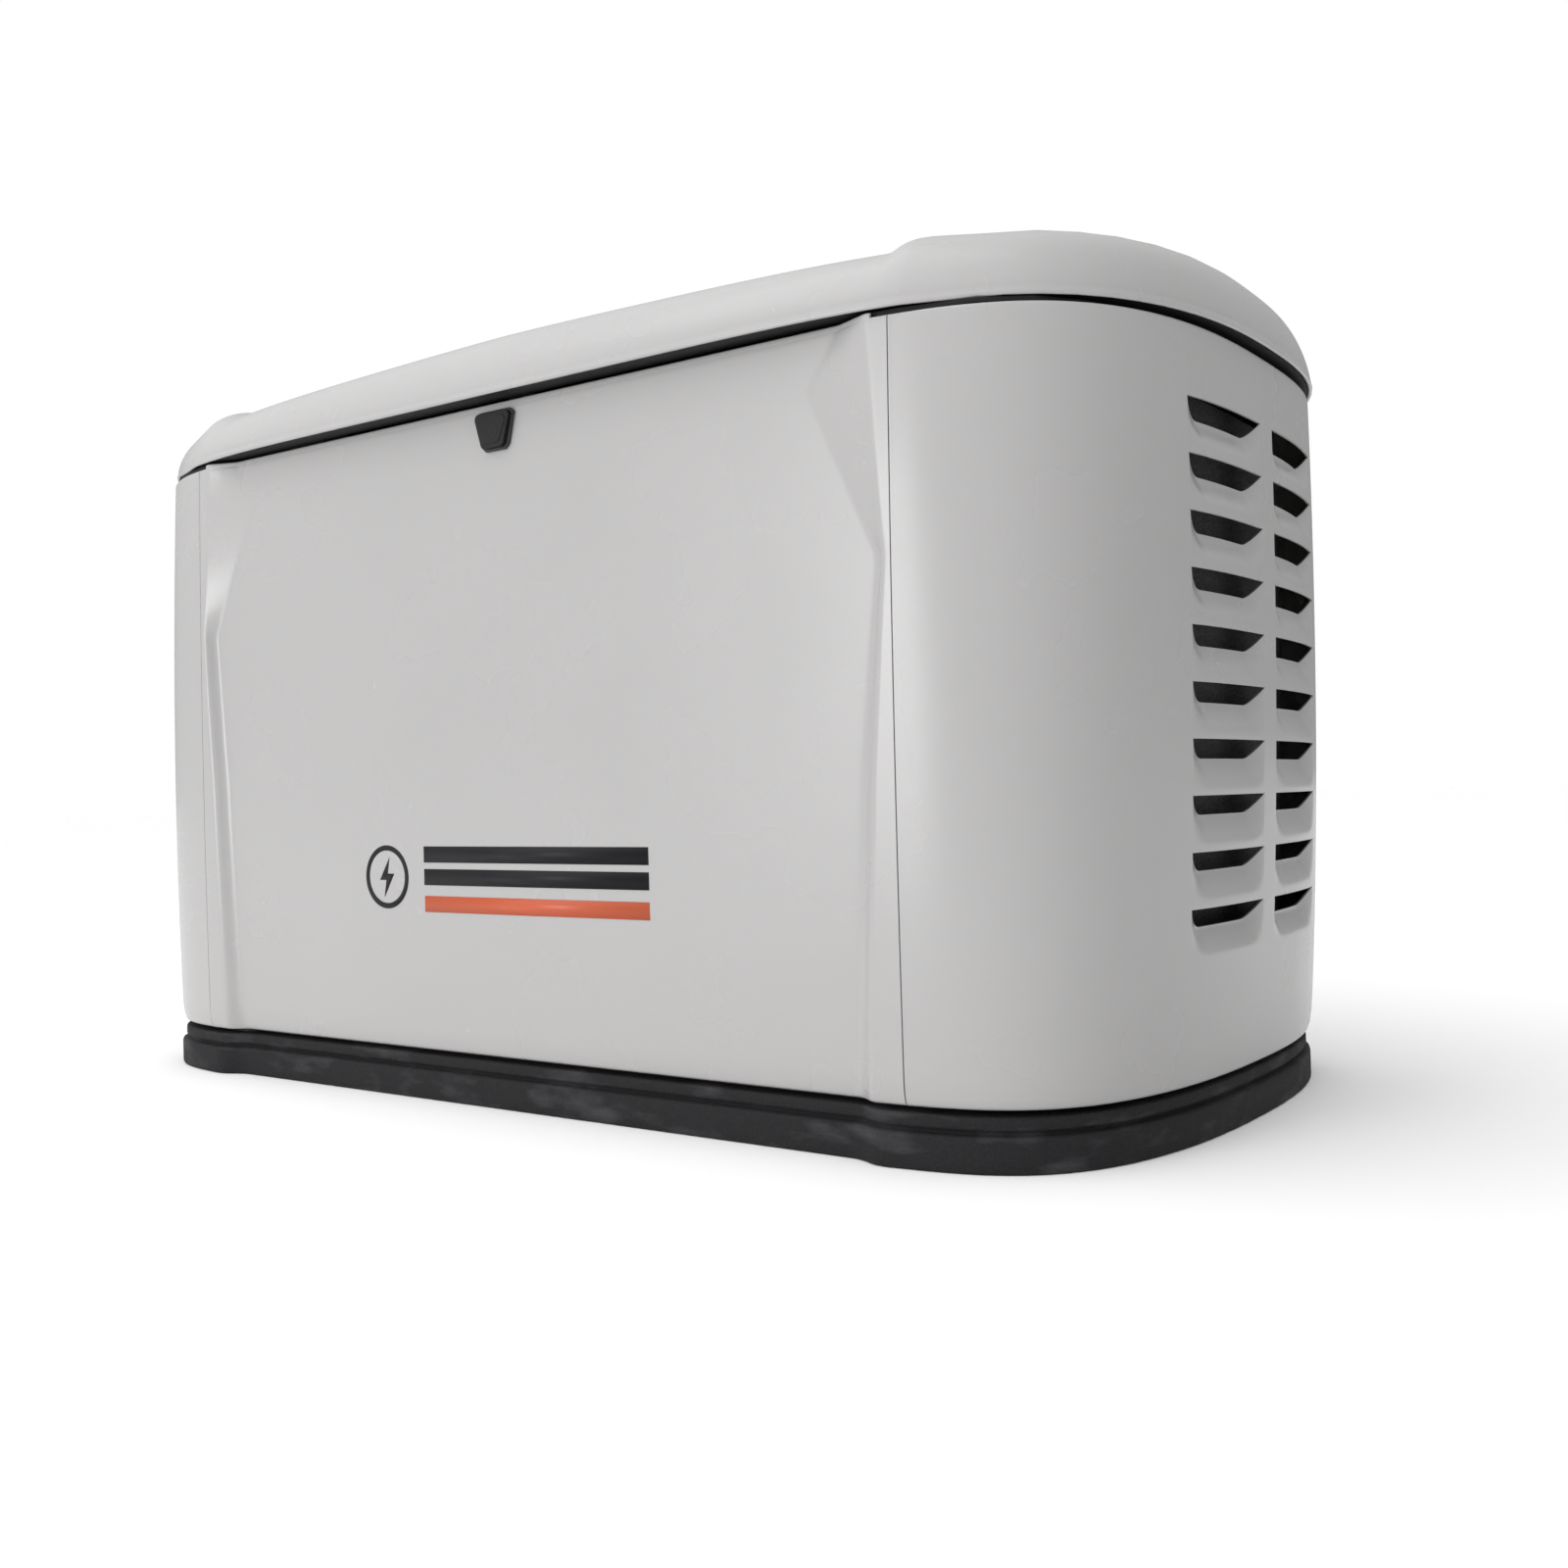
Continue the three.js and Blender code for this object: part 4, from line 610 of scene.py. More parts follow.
def front_panel():
    """The lift-off front: a recessed face between two facets, folded all round."""
    rows = edge_rows(TOP, -1, 12) + [(z, 0) for z in np.linspace(TOP - 6 * MM, BOTTOM + 6 * MM, 76)]
    rows += edge_rows(BOTTOM, 1, 13.5)[::-1]
    grid = []
    for z, depth in rows:
        points = [(x, front_y(x, z, depth), z) for x in front_columns(z)]
        size = FOLD - 2 * MM if depth == 0 else 0
        slope = 0.5 * MM if depth == 0 else 0
        near, far = points[0], points[-1]
        start = [(near[0] + slope, near[1] + size, z), (near[0] + slope / 3, near[1] + slope, z)]
        end = [(far[0] - slope / 3, far[1] + slope, z), (far[0] - slope, far[1] + size, z)]
        grid.append([*start, *points, *end])
    verts, faces = [], []
    add_grid(verts, faces, np.array(grid))
    panel = mesh_piece("front_panel_skin", verts, faces, "front_cover", "panel_paint", ("front_panel",),
                       merge=1e-5)
    thicken(panel, WALL)
    round_edges(panel, 0.5 * MM)


def front_bead():
    """A raised bead along the front's top edge, in front of the seal."""
    # Depth and height round its section, in mm.
    section = ((0.2, -3.4), (0.1, 1.6), (0.6, 2.9), (1.4, 3.2),
               (2.2, 2.9), (2.7, 1.6), (2.7, 0.2), (1.6, -3.4))
    xs = [x for x in front_columns(TOP) if abs(x) < SEAM_X - 8 * MM]
    rows = [[(x, front_y(x, TOP, depth * MM), TOP + height * MM) for x in xs] for depth, height in section]
    verts, faces = [], []
    add_grid(verts, faces, np.array([*rows, rows[0]]))
    for end in (0, len(xs) - 1):
        faces.append(tuple(row * len(xs) + end for row in range(len(section))))
    bead = mesh_piece("front_top_bead", verts, faces, "front_cover", "panel_paint", merge=1e-6)
    tidy_normals(bead)


# ---- roof ----
def roof_height(x, y, inset=0.0):
    """Height of the roof's surface above its lip."""
    a, b = ROOF_A - inset, ROOF_B - inset
    rho = np.minimum(1, np.abs(x / a) ** ROOF_END_POWER + np.abs(y / b) ** ROOF_SIDE_POWER)
    edge = (1 - rho ** ROOF_EDGE_POWER) ** ROOF_EDGE_ROUND
    crown = CROWN_ALONG * (1 - np.abs(x / a) ** CROWN_ALONG_POWER) + CROWN_ACROSS * (1 - (y / b) ** 2)
    cap = CAP_STEP / (1 + np.exp(-(np.abs(x) - CAP_X) / CAP_SLOPE))
    return HEM_HEIGHT + (SKIRT_HEIGHT + crown + cap) * edge


def roof_grid(inset):
    """Points over the roof: stations along its length, and closer together towards its edges."""
    a, b = ROOF_A - inset, ROOF_B - inset
    ends = np.radians((0.25, 0.8, 1.5, 2.4, 3.4, 4.5, 5.8, 7.2, 9, 11,
                       13.5, 16.5, 20, 24, 28.5, 33.5, 39, 45, 51, 57))
    end_x = a * np.cos(ends) ** (2 / ROOF_END_POWER)
    step_x = CAP_X + CAP_SLOPE * np.linspace(5.5, -5.5, 17)
    half = sorted({*end_x[end_x > step_x[0] + 4 * MM], *step_x, *np.linspace(step_x[-1] - 8 * MM, 0, 20)})
    stations = [-x for x in reversed(half[1:])] + half
    share = np.linspace(0, 1, 37)
    across = 1 - (1 - share) ** 2.6
    across = np.concatenate((-across[::-1][:-1], across))
    grid = np.zeros((len(stations), len(across), 3))
    for row, x in enumerate(stations):
        width = b * (1 - abs(x / a) ** ROOF_END_POWER) ** (1 / ROOF_SIDE_POWER)
        grid[row, :, 0] = x
        grid[row, :, 1] = across * width
        grid[row, :, 2] = LIP_Z + roof_height(x, across * width, inset)
    return grid


def rim_of(grid):
    """The boundary of a grid of points, once round."""
    return np.concatenate((grid[:, 0], grid[-1, 1:-1], grid[::-1, -1], grid[0, -2:0:-1]))


def inward(rim, a, b):
    """Unit vectors from the rim of the roof's plan towards its middle."""
    nx = np.sign(rim[:, 0]) * np.abs(rim[:, 0] / a) ** (ROOF_END_POWER - 1) * ROOF_END_POWER / a
    ny = np.sign(rim[:, 1]) * np.abs(rim[:, 1] / b) ** (ROOF_SIDE_POWER - 1) * ROOF_SIDE_POWER / b
    length = np.hypot(nx, ny)
    return np.stack((-nx / length, -ny / length), axis=1)


def roof_piece():
    """The roof: one moulded shell with a rolled lip and an inward flange under it."""
    outer = roof_grid(0)
    inner = roof_grid(ROOF_WALL)
    verts, faces = [], []
    add_grid(verts, faces, outer, flip=True)
    inner_start = len(verts)
    add_grid(verts, faces, inner)
    rim = rim_of(outer)
    towards = inward(rim, ROOF_A, ROOF_B)
    # Inset and height of the lip's section, from the outer surface round to the inner one, in mm.
    section = ((-0.2, 5.0), (-0.9, 3.2), (-1.3, 1.8), (-1.1, 0.4),
               (-0.2, -0.4), (1.2, -0.3), (2.6, 0.8), (3.0, 3.0))
    rings = []
    for inset, height in section:
        start = len(verts)
        plan = rim[:, :2] + towards * inset * MM
        verts.extend((x, y, LIP_Z + height * MM) for x, y in plan)
        rings.append([start + k for k in range(len(rim))])
    index = np.arange(outer.shape[0] * outer.shape[1]).reshape(outer.shape[:2])
    border = [int(i) for i in rim_of(index)]
    join_rings(faces, [border, *rings, [inner_start + i for i in border]])
    roof = mesh_piece("roof_shell", verts, faces, "roof_lid", "panel_paint", ("roof",), merge=1e-6)
    tidy_normals(roof)


def roof_gasket_and_painted_shade():
    """A black gasket under the roof's lip, out to the seal: partly a real seal, and partly a dark sheet that
    paints the shade under the lip.
    """
    rim = rim_of(roof_grid(0))
    towards = inward(rim, ROOF_A, ROOF_B)
    # Inset and height of its section, in mm.
    section = ((3.3, 0.4), (26, 0.4), (26, 4.4), (3.3, 4.4))
    rows = []
    for inset, height in section:
        plan = rim[:, :2] + towards * inset * MM
        rows.append([(x, y, LIP_Z + height * MM) for x, y in plan])
    rows = np.array([*rows, rows[0]])
    rows = np.concatenate((rows, rows[:, :1]), axis=1)
    verts, faces = [], []
    add_grid(verts, faces, rows)
    # Black rubber that stands for the real seal and also paints the shade under the lip.
    gasket = mesh_piece("roof_gasket_and_painted_shade", verts, faces, "roof_lid", "rubber", merge=1e-6)
    tidy_normals(gasket)


# ---- pad ----
def smooth_loop(points, spacing, spread):
    """A closed outline with even spacing and softened corners."""
    closed = np.vstack((points, points[:1]))
    steps = np.hypot(*np.diff(closed, axis=0).T)
    along = np.concatenate(((0,), np.cumsum(steps)))
    count = int(along[-1] / spacing)
    at = np.linspace(0, along[-1], count, endpoint=False)
    even = np.stack([np.interp(at, along, closed[:, k]) for k in (0, 1)], axis=1)
    reach = np.arange(-spread, spread + 1)
    weights = np.exp(-0.5 * (reach / (spread / 2)) ** 2)
    return sum(w * np.roll(even, -int(k), axis=0) for k, w in zip(reach, weights)) / weights.sum()


def pad_outline(inset):
    """Plan of the pad: round ends joined by a narrower middle."""
    a, b = PAD_HIGH.x - inset, PAD_HIGH.y + 1 * MM - inset
    waist_x = (SEAM_X - WAIST_INSET) - WAIST_SLOPE
    side = b - FRONT_RECESS
    curve = []
    reach = math.acos(((SEAM_X + 5 * MM) / a) ** (BODY_END_POWER[0] / 2))
    for angle in np.linspace(-reach, reach, 81):
        s = math.sin(angle)
        curve.append((a * math.cos(angle) ** (2 / BODY_END_POWER[0]),
                      b * math.copysign(abs(s) ** (2 / BODY_SIDE_POWER[0]), s)))
    half = [(waist_x, -side), (waist_x + WAIST_SLOPE, -(b - 1 * MM)), *curve,
            (waist_x + WAIST_SLOPE, b - 1 * MM), (waist_x, side)]
    return np.array(half + [(-x, -y) for x, y in half])


def pad_piece():
    """The cast pad in two tiers with a groove between them, its faces slightly uneven."""
    # Inset and height of the pad's section, from its underside up, in mm.
    section = ((40, 0), (3, 0), (0.9, 0.7), (0, 2.4), (0, 9), (0, 17), (0, 24), (0.7, 26.2), (2.4, 27),
               (7.6, 27), (8.3, 27.6), (8.3, 30.4), (7.6, 31), (5.2, 31), (4.2, 31.9), (4, 33.2), (4, 36),
               (4, 39), (4.7, 40.5), (6.4, 41), (40, 41))
    verts, faces, rings = [], [], []
    base = smooth_loop(pad_outline(0), 5 * MM, 3)
    nearby = np.roll(base, -1, axis=0) - np.roll(base, 1, axis=0)
    inwards = np.stack((-nearby[:, 1], nearby[:, 0]), axis=1) / np.hypot(*nearby.T)[:, None]
    for inset, height in section:
        rings.append(range(len(verts), len(verts) + len(base)))
        for (x, y), (nx, ny) in zip(base + inwards * inset * MM, inwards):
            pitted = 0.35 * noise.noise(Vector((x, y, height * MM)) * 60)
            uneven = 0.2 * noise.noise(Vector((x, y, 1)) * 14)
            sink = (pitted + uneven + 0.3) * MM if 0 < height < 41 else 0
            verts.append((x + nx * sink, y + ny * sink, height * MM))
    join_rings(faces, rings)
    faces.append(tuple(reversed(rings[0])))
    faces.append(tuple(rings[-1]))
    pad = mesh_piece("cast_pad", verts, faces, "chassis", "composite", ("base_pad",))
    pad.data.set_sharp_from_angle(angle=math.radians(55))


# ---- pieces built up from simple solids ----
def corners(node):
    """A CAD node's lowest and highest corners in mm."""
    low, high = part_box(node)
    return np.array(low) / MM, np.array(high) / MM


def frame_axes(axis):
    """Two unit vectors across an axis."""
    along = Vector(axis).normalized()
    side = along.cross(Vector((0, 0, 1)) if abs(along.z) < 0.9 else Vector((1, 0, 0))).normalized()
    return along, side, along.cross(side)


class Shape:
    """One piece built up from blocks, rods, turned and cut-out solids. Sizes are in mm."""

    def __init__(self):
        self.verts = []
        self.faces = []

    def block(self, low, high):
        start = len(self.verts)
        for z in (low[2], high[2]):
            self.verts += [(low[0], low[1], z), (high[0], low[1], z)]
            self.verts += [(high[0], high[1], z), (low[0], high[1], z)]
        quads = ((0, 3, 2, 1), (4, 5, 6, 7), (0, 1, 5, 4), (1, 2, 6, 5), (2, 3, 7, 6), (3, 0, 4, 7))
        self.faces += [tuple(start + i for i in quad) for quad in quads]
        return self

    def turned(self, profile, origin, axis, sides=56, closed=False):
        """A solid of revolution. The profile is (radius, distance along the axis)."""
        along, side, other = frame_axes(axis)
        start = len(self.verts)
        count = len(profile)
        for k in range(sides):
            turn = 2 * math.pi * k / sides
            way = side * math.cos(turn) + other * math.sin(turn)
            self.verts += [tuple(Vector(origin) + along * h + way * r) for r, h in profile]
        for k in range(sides):
            a, b = start + k * count, start + ((k + 1) % sides) * count
            for i in range(count - (0 if closed else 1)):
                j = (i + 1) % count
                self.faces.append((a + i, a + j, b + j, b + i))
        return self

    def rod(self, start, end, radius, sides=32):
        axis = Vector(end) - Vector(start)
        return self.turned([(0, 0), (radius, 0), (radius, axis.length), (0, axis.length)], start, axis, sides)

    def tube(self, start, end, outer, inner):
        axis = Vector(end) - Vector(start)
        profile = [(inner, 0), (outer, 0), (outer, axis.length), (inner, axis.length)]
        return self.turned(profile, start, axis, 48, closed=True)

    def prism(self, outline, origin, across, up, depth):
        """An outline in two directions, pushed along their cross product."""
        across, up = Vector(across), Vector(up)
        push = across.cross(up) * depth
        start, count = len(self.verts), len(outline)
        flat = [Vector(origin) + across * u + up * v for u, v in outline]
        self.verts += [tuple(p) for p in flat] + [tuple(p + push) for p in flat]
        self.faces.append(tuple(start + i for i in reversed(range(count))))
        self.faces.append(tuple(start + count + i for i in range(count)))
        for i in range(count):
            j = (i + 1) % count
            self.faces.append((start + i, start + j, start + count + j, start + count + i))
        return self

    def bolt(self, place, axis, size):
        """A hexagon flange bolt's head."""
        along, side, other = frame_axes(axis)
        self.turned([(0, 0), (size * 0.95, 0), (size * 0.95, 1.2), (0, 1.2)], place, axis, 28)
        reach = size * 0.72
        turns = [k * math.pi / 3 for k in range(6)]
        hexagon = [(reach * math.cos(turn), reach * math.sin(turn)) for turn in turns]
        base = Vector(place) + along * 1.2
        return self.prism(hexagon, base, side, other, size * 0.55)

    def piece(self, name, body, slot, replaces=(), rounding=0.5, material=None):
        verts = [tuple(c * MM for c in v) for v in self.verts]
        obj = mesh_piece(name, verts, self.faces, body, slot, replaces, merge=1e-7, material=material)
        face_outwards(obj)
        if rounding:
            round_edges(obj, rounding * MM)
        return obj


def refined(node, width, material=None):
    """A CAD node's own shape with its flats made whole, its edges rounded and its round faces smooth."""
    mesh = frame["nodes"][node].data.copy()
    mesh.name = node + "_fine"
    work = bmesh.new()
    work.from_mesh(mesh)
    bmesh.ops.remove_doubles(work, verts=work.verts, dist=1e-6)
    bmesh.ops.dissolve_limit(work, angle_limit=math.radians(1.2), verts=work.verts, edges=work.edges)
    work.to_mesh(mesh)
    work.free()
    mesh.materials.clear()
    mesh.shade_smooth()
    obj = bpy.data.objects.new(node + "_fine", mesh)
    register(obj, BODY_OF[node], SLOT_OF[node], (node,), material)
    if width:
        round_edges(obj, width * MM)
    else:
        mesh.set_sharp_from_angle(angle=math.radians(60))
    return obj


# ---- exterior details ----
def lock_outline(grow):
    """The lock cover's rounded trapezoid from its bottom centre, as (x, z) in mm."""
    top, bottom, height, radius = 21 + grow, 14 + grow, 32 + grow, 5
    centres = ((bottom - radius + 0.4, radius - grow, -80, -8), (top - radius, height - radius, -8, 90))
    half = []
    for x, z, first, last in centres:
        for turn in np.radians(np.linspace(first, last, 9)):
            half.append((x + radius * math.cos(turn), z + radius * math.sin(turn)))
    return half + [(-x, z) for x, z in reversed(half)]


def lock_pieces():
    """The lock's rubber cover with its hinge bar, and the lock behind it."""
    low, high = corners("lock_cover")
    middle = (low[0] + high[0]) / 2
    face, back = low[1], high[1]
    cover = Shape()
    cover.prism(lock_outline(0), (middle, back, low[2]), (1, 0, 0), (0, 0, 1), back - face - 0.6)
    cover.prism(lock_outline(-4), (middle, face + 0.8, low[2]), (1, 0, 0), (0, 0, 1), 0.8)
    ring = [(5.2, 0), (8.2, 0), (8.2, 0.7), (5.2, 0.7)]
    cover.turned(ring, (middle, face + 0.5, low[2] + 15), (0, -1, 0), 48, True)
    cover.rod((middle - 14, back - 1.6, low[2] + 31.2), (middle + 14, back - 1.6, low[2] + 31.2), 1.6)
    cover.piece("lock_cover_moulded", "lock_flap", "rubber", ("lock_cover",), 0.8)
    refined("lock_bezel", 0.5)
    refined("lock_cylinder", 0.4)
    refined("lock_cam", 0.4)
    refined("roof_striker", 0.4)


def bolt_outline():
    """A plain lightning bolt, as (x, z) in mm round its middle."""
    half = [(4, 19), (-10, -3), (-1, -3)]
    return half + [(-x, -z) for x, z in half]


def bar_outline(low):
    """A plain bar beside the mark, from the height of its lower edge, as (x, z) in mm."""
    high = low + BAR_HEIGHT
    return [(BAR_LEFT, low), (BAR_RIGHT, low), (BAR_RIGHT, high), (BAR_LEFT, high)]


def film(name, outlines, material):
    """A thin film on the front, in one or more outlines."""
    shape = Shape()
    for outline in outlines:
        levels = [z for _, z in outline]
        y = front_y(outline[0][0] * MM, sum(levels) / len(levels) * MM) / MM
        shape.prism(outline, (0, y + FILM_SUNK, 0), (1, 0, 0), (0, 0, 1), FILM_SUNK + FILM_PROUD)
    shape.piece(name, "front_cover", "panel_paint", rounding=0, material=material)


def mark_pieces():
    """A generic mark: a bolt in a ring, with two dark bars and an orange one beside it."""
    x, z = MARK_CENTRE
    y = front_y(x * MM, z * MM) / MM + FILM_SUNK
    section = [(RING_INNER, 0), (RING_OUTER, 0), (RING_OUTER, RING_DEPTH), (RING_INNER, RING_DEPTH)]
    ring = Shape().turned(section, (x, y, z), (0, -1, 0), 72, True)
    ring.piece("mark_ring", "front_cover", "black_plastic", rounding=0, material=DARK_FILM)
    film("mark_bolt", [[(x + dx, z + dz) for dx, dz in bolt_outline()]], DARK_FILM)
    film("mark_dark_bars", [bar_outline(low) for low in DARK_BARS], DARK_FILM)
    film("mark_orange_bar", [bar_outline(ORANGE_BAR)], ORANGE_FILM)


def louvre_baffles():
    """Foam-lined baffles behind the louvres at each end."""
    levels = np.linspace(BAFFLE_LOW, BAFFLE_HIGH, 30)
    across = np.linspace(-BAFFLE_REACH, BAFFLE_REACH, 41)
    index = np.arange(levels.size * across.size).reshape(levels.size, across.size)
    rim = [int(i) for i in rim_of(index)]
    for side, label in ((-1, "left"), (1, "right")):
        verts, faces = [], []
        for depth, flip in zip(BAFFLE_DEPTHS, (side < 0, side > 0)):
            rows = []
            for z in levels:
                row = [end_point(angle_at_y(y, z), z, depth) for y in across]
                rows.append([(side * x, y, z) for x, y in row])
            add_grid(verts, faces, np.array(rows)[::-1], flip)
        join_rings(faces, [rim, [i + index.size for i in rim]])
        baffle = mesh_piece(label + "_baffle", verts, faces, "chassis", "foam")
        tidy_normals(baffle)


def foam_liner():
    """Sound foam under the roof, moulded in rows of soft peaks."""
    x_reach, y_reach = LINER_HIGH.x, LINER_HIGH.y
    xs, ys = np.linspace(-x_reach, x_reach, 190), np.linspace(-y_reach, y_reach, 124)
    top = np.zeros((len(xs), len(ys), 3))
    bottom = np.zeros_like(top)
    pitch = 26 * MM
    for i, x in enumerate(xs):
        surface = LIP_Z - 5 * MM + roof_height(x, ys, 4 * MM)
        peaks = 0.5 + 0.5 * np.cos(2 * math.pi * x / pitch) * np.cos(2 * math.pi * ys / pitch)
        edge = np.minimum(1, np.minimum(x_reach - abs(x), y_reach - np.abs(ys)) / (9 * MM))
        top[i] = np.stack((np.full_like(ys, x), ys, surface), axis=1)
        thickness = (2 + (1.2 + 4.6 * peaks) * edge) * MM
        bottom[i] = np.stack((np.full_like(ys, x), ys, surface - thickness), axis=1)
    verts, faces = [], []
    add_grid(verts, faces, top, flip=True)
    add_grid(verts, faces, bottom)
    index = np.arange(len(xs) * len(ys)).reshape(len(xs), len(ys))
    rim = [int(i) for i in rim_of(index)]
    join_rings(faces, [rim, [i + index.size for i in rim]])
    liner = mesh_piece("moulded_foam_liner", verts, faces, "roof_lid", "foam", ("roof_liner",))
    tidy_normals(liner)


def hood_section(y, z):
    """The section of a hood over a rear slot, as (y, z) in mm."""
    return [(y - 1.5, z - 1), (y + 6.5, z - 3), (y + 8, z - 1.5), (y + 7.2, z + 4), (y + 1.2, z + 17),
            (y - 1.5, z + 17.5), (y - 1.5, z + 15.6), (y + 0.4, z + 15), (y + 5.2, z + 4), (y + 5.6, z + 0.4),
            (y - 1.5, z + 1)]


def rear_hoods(rear_y):
    """Hoods over the rear slots, with a cheek at each end."""
    hoods = Shape()
    width = REAR_SLOT_WIDTH + 2 * HOOD_MARGIN
    for row in range(REAR_SLOT_ROWS):
        z = REAR_SLOT_LOWEST + REAR_SLOT_PITCH * row
        y = rear_y - 1.2 - SIDE_BULGE / MM * (1 - float(swell(z * MM)))
        cheek = [(y - 1.5, z - 1), (y + 7, z - 2), (y + 7, z + 4), (y + 1.2, z + 17), (y - 1.5, z + 17)]
        for slot_left in REAR_SLOT_LEFTS:
            left = slot_left - HOOD_MARGIN
            hoods.prism(hood_section(y, z), (left, 0, 0), (0, 1, 0), (0, 0, 1), width)
            for end in (left, left + width - CHEEK):
                hoods.prism(cheek, (end, 0, 0), (0, 1, 0), (0, 0, 1), CHEEK)
    hoods.piece("rear_hoods", "chassis", "panel_paint", rounding=0.6)


def fuel_entry_plate(rear_y):
    """A bolted plate round the fuel inlet."""
    low, high = corners("fuel_inlet_pipe")
    x, z = (low[0] + high[0]) / 2, (low[2] + high[2]) / 2
    y = rear_y - 2.4
    plate = Shape()
    section = [(17.5, 0), (34, 0), (34, 1.6), (32, 2.6), (19, 2.6), (17.5, 1.6)]
    plate.turned(section, (x, y, z), (0, 1, 0), 64, True)
    for k in range(4):
        turn = math.pi / 4 + k * math.pi / 2
        place = (x + ENTRY_BOLT_CIRCLE * math.cos(turn), y + 2.4, z + ENTRY_BOLT_CIRCLE * math.sin(turn))
        plate.bolt(place, (0, 1, 0), 4)
    plate.piece("fuel_entry_plate", "chassis", "zinc", rounding=0.3)


def hinge_pieces():
    """Both hinges, and the screws in their base leaves."""
    for label in ("left", "right"):
        for node in ("hinge_base_leaf_", "hinge_roof_leaf_", "hinge_pin_"):
            refined(node + label, 0.4)
        low, _ = corners("hinge_base_leaf_" + label)
        screws = Shape()
        for dx in (12, 32, 52):
            place = (low[0] + dx, low[1] + 2.2, low[2] + 14)
            screws.turned([(0, 0), (4.4, 0), (4.0, 1.0), (2.4, 1.6), (0, 1.7)], place, (0, 1, 0), 24)
        screws.piece("hinge_screws_" + label, "chassis", "steel", rounding=0)


def rear_details():
    """The rear's hoods, fuel entry plate and hinges."""
    rear_y = corners("rear_panel")[1][1]
    rear_hoods(rear_y)
    fuel_entry_plate(rear_y)
    hinge_pieces()


def panel_screws():
    """Screws down the seams of the end panels, at the rear."""
    x = SEAM_X / MM + SCREW_FROM_SEAM
    for side, label in ((-1, "left"), (1, "right")):
        screws = Shape()
        for z in SCREW_LEVELS:
            a, b, p, q = body_plan(z * MM)
            y = b / MM * (1 - (x * MM / a) ** p) ** (1 / q) - 0.3
            head = [(0, 0), (5.2, 0), (5.0, 0.8), (3.4, 1.9), (0, 2.2)]
            screws.turned(head, (side * x, y, z), (0, 1, 0), 28)
        screws.piece("rear_panel_screws_" + label, "chassis", "zinc", rounding=0)


# ---- details inside ----
def battery_details():
    """Filler caps, a hold-down bar with its rods, and clamps on the posts."""
    low, high = corners("battery")
    mid_x, mid_y = (low[0] + high[0]) / 2, (low[1] + high[1]) / 2
    deck = high[2] - 12
    caps = Shape()
    for k in range(6):
        x = low[0] + 26 + k * (high[0] - low[0] - 52) / 5
        caps.turned([(0, 0), (8, 0), (8.4, 1), (8.4, 3), (7.4, 4), (3, 4.2), (2.6, 3.4), (0, 3.4)],
                    (x, mid_y + 34, deck - 0.5), (0, 0, 1), 32)
    caps.piece("battery_caps", "chassis", "red_plastic", rounding=0)
    bar = Shape()
    bar.block((mid_x - 9, low[1] - 7, deck + 0.5), (mid_x + 9, high[1] + 7, deck + 3.5))
    for y in (low[1] - 3.6, high[1] + 3.6):
        bar.rod((mid_x, y, low[2] + 38), (mid_x, y, deck + 12), 2.6, 20)
        bar.bolt((mid_x, y, deck + 3.4), (0, 0, 1), 5.5)
    bar.piece("battery_hold_down", "chassis", "zinc", rounding=0.4)
    posts = ((low[0] + 32, "negative", "black_plastic"), (high[0] - 32, "positive", "red_plastic"))
    for x, label, slot in posts:
        y = low[1] + 30
        clamp = Shape().tube((x, y, deck + 2.4), (x, y, deck + 9.5), 12.5, 8.4)
        clamp.block((x - 4.5, y - 21, deck + 2.8), (x + 4.5, y - 11, deck + 9))
        clamp.rod((x - 9, y - 17, deck + 6), (x + 9, y - 17, deck + 6), 2, 16)
        clamp.piece("battery_clamp_" + label, "chassis", slot, rounding=0.3)


def control_details():
    """The controller's face plate, its dark window and lamps, and vents in the box's front."""
    low, high = corners("control_box")
    deck = max(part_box("button_off")[0].z / MM + 3, high[2] - 3)
    x0, x1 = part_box("button_auto")[0].x / MM - 18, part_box("button_manual")[1].x / MM + 18
    y0, y1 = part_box("button_off")[1].y / MM + 10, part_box("main_breaker")[1].y / MM + 4
    face = Shape().block((x0, y0, deck + 0.2), (x1, y1, deck + 1.6))
    face.piece("controller_face", "chassis", "white_plastic", rounding=0.4)
    window = Shape().block((x0 + 12, y0 + 14, deck + 1.5), (x0 + 80, y1 - 8, deck + 2.6))
    window.piece("controller_window", "chassis", "black_plastic", rounding=0.3)
    for k, slot in enumerate(("green_plastic", "yellow_plastic", "red_plastic")):
        place = (x1 - 16, y0 + 16 + 14 * k, deck + 1.4)
        lamp = Shape().turned([(0, 0), (3, 0), (3, 0.8), (2.2, 1.9), (0, 2.4)], place, (0, 0, 1), 24)
        lamp.piece("controller_lamp_" + str(k + 1), "chassis", slot, rounding=0)
    vents = Shape()
    for k in range(9):
        x = high[0] - 96 + 9 * k
        vents.block((x, low[1] - 1.2, low[2] + 30), (x + 3.4, low[1] + 0.2, low[2] + 92))
    vents.piece("control_box_vents", "chassis", "black_plastic", rounding=0.3)


def round_crank(x, radius, turn):
    """A place on a circle round the crank's axis, in mm."""
    return x, CRANK_Y + radius * math.cos(turn), CRANK_Z + radius * math.sin(turn)


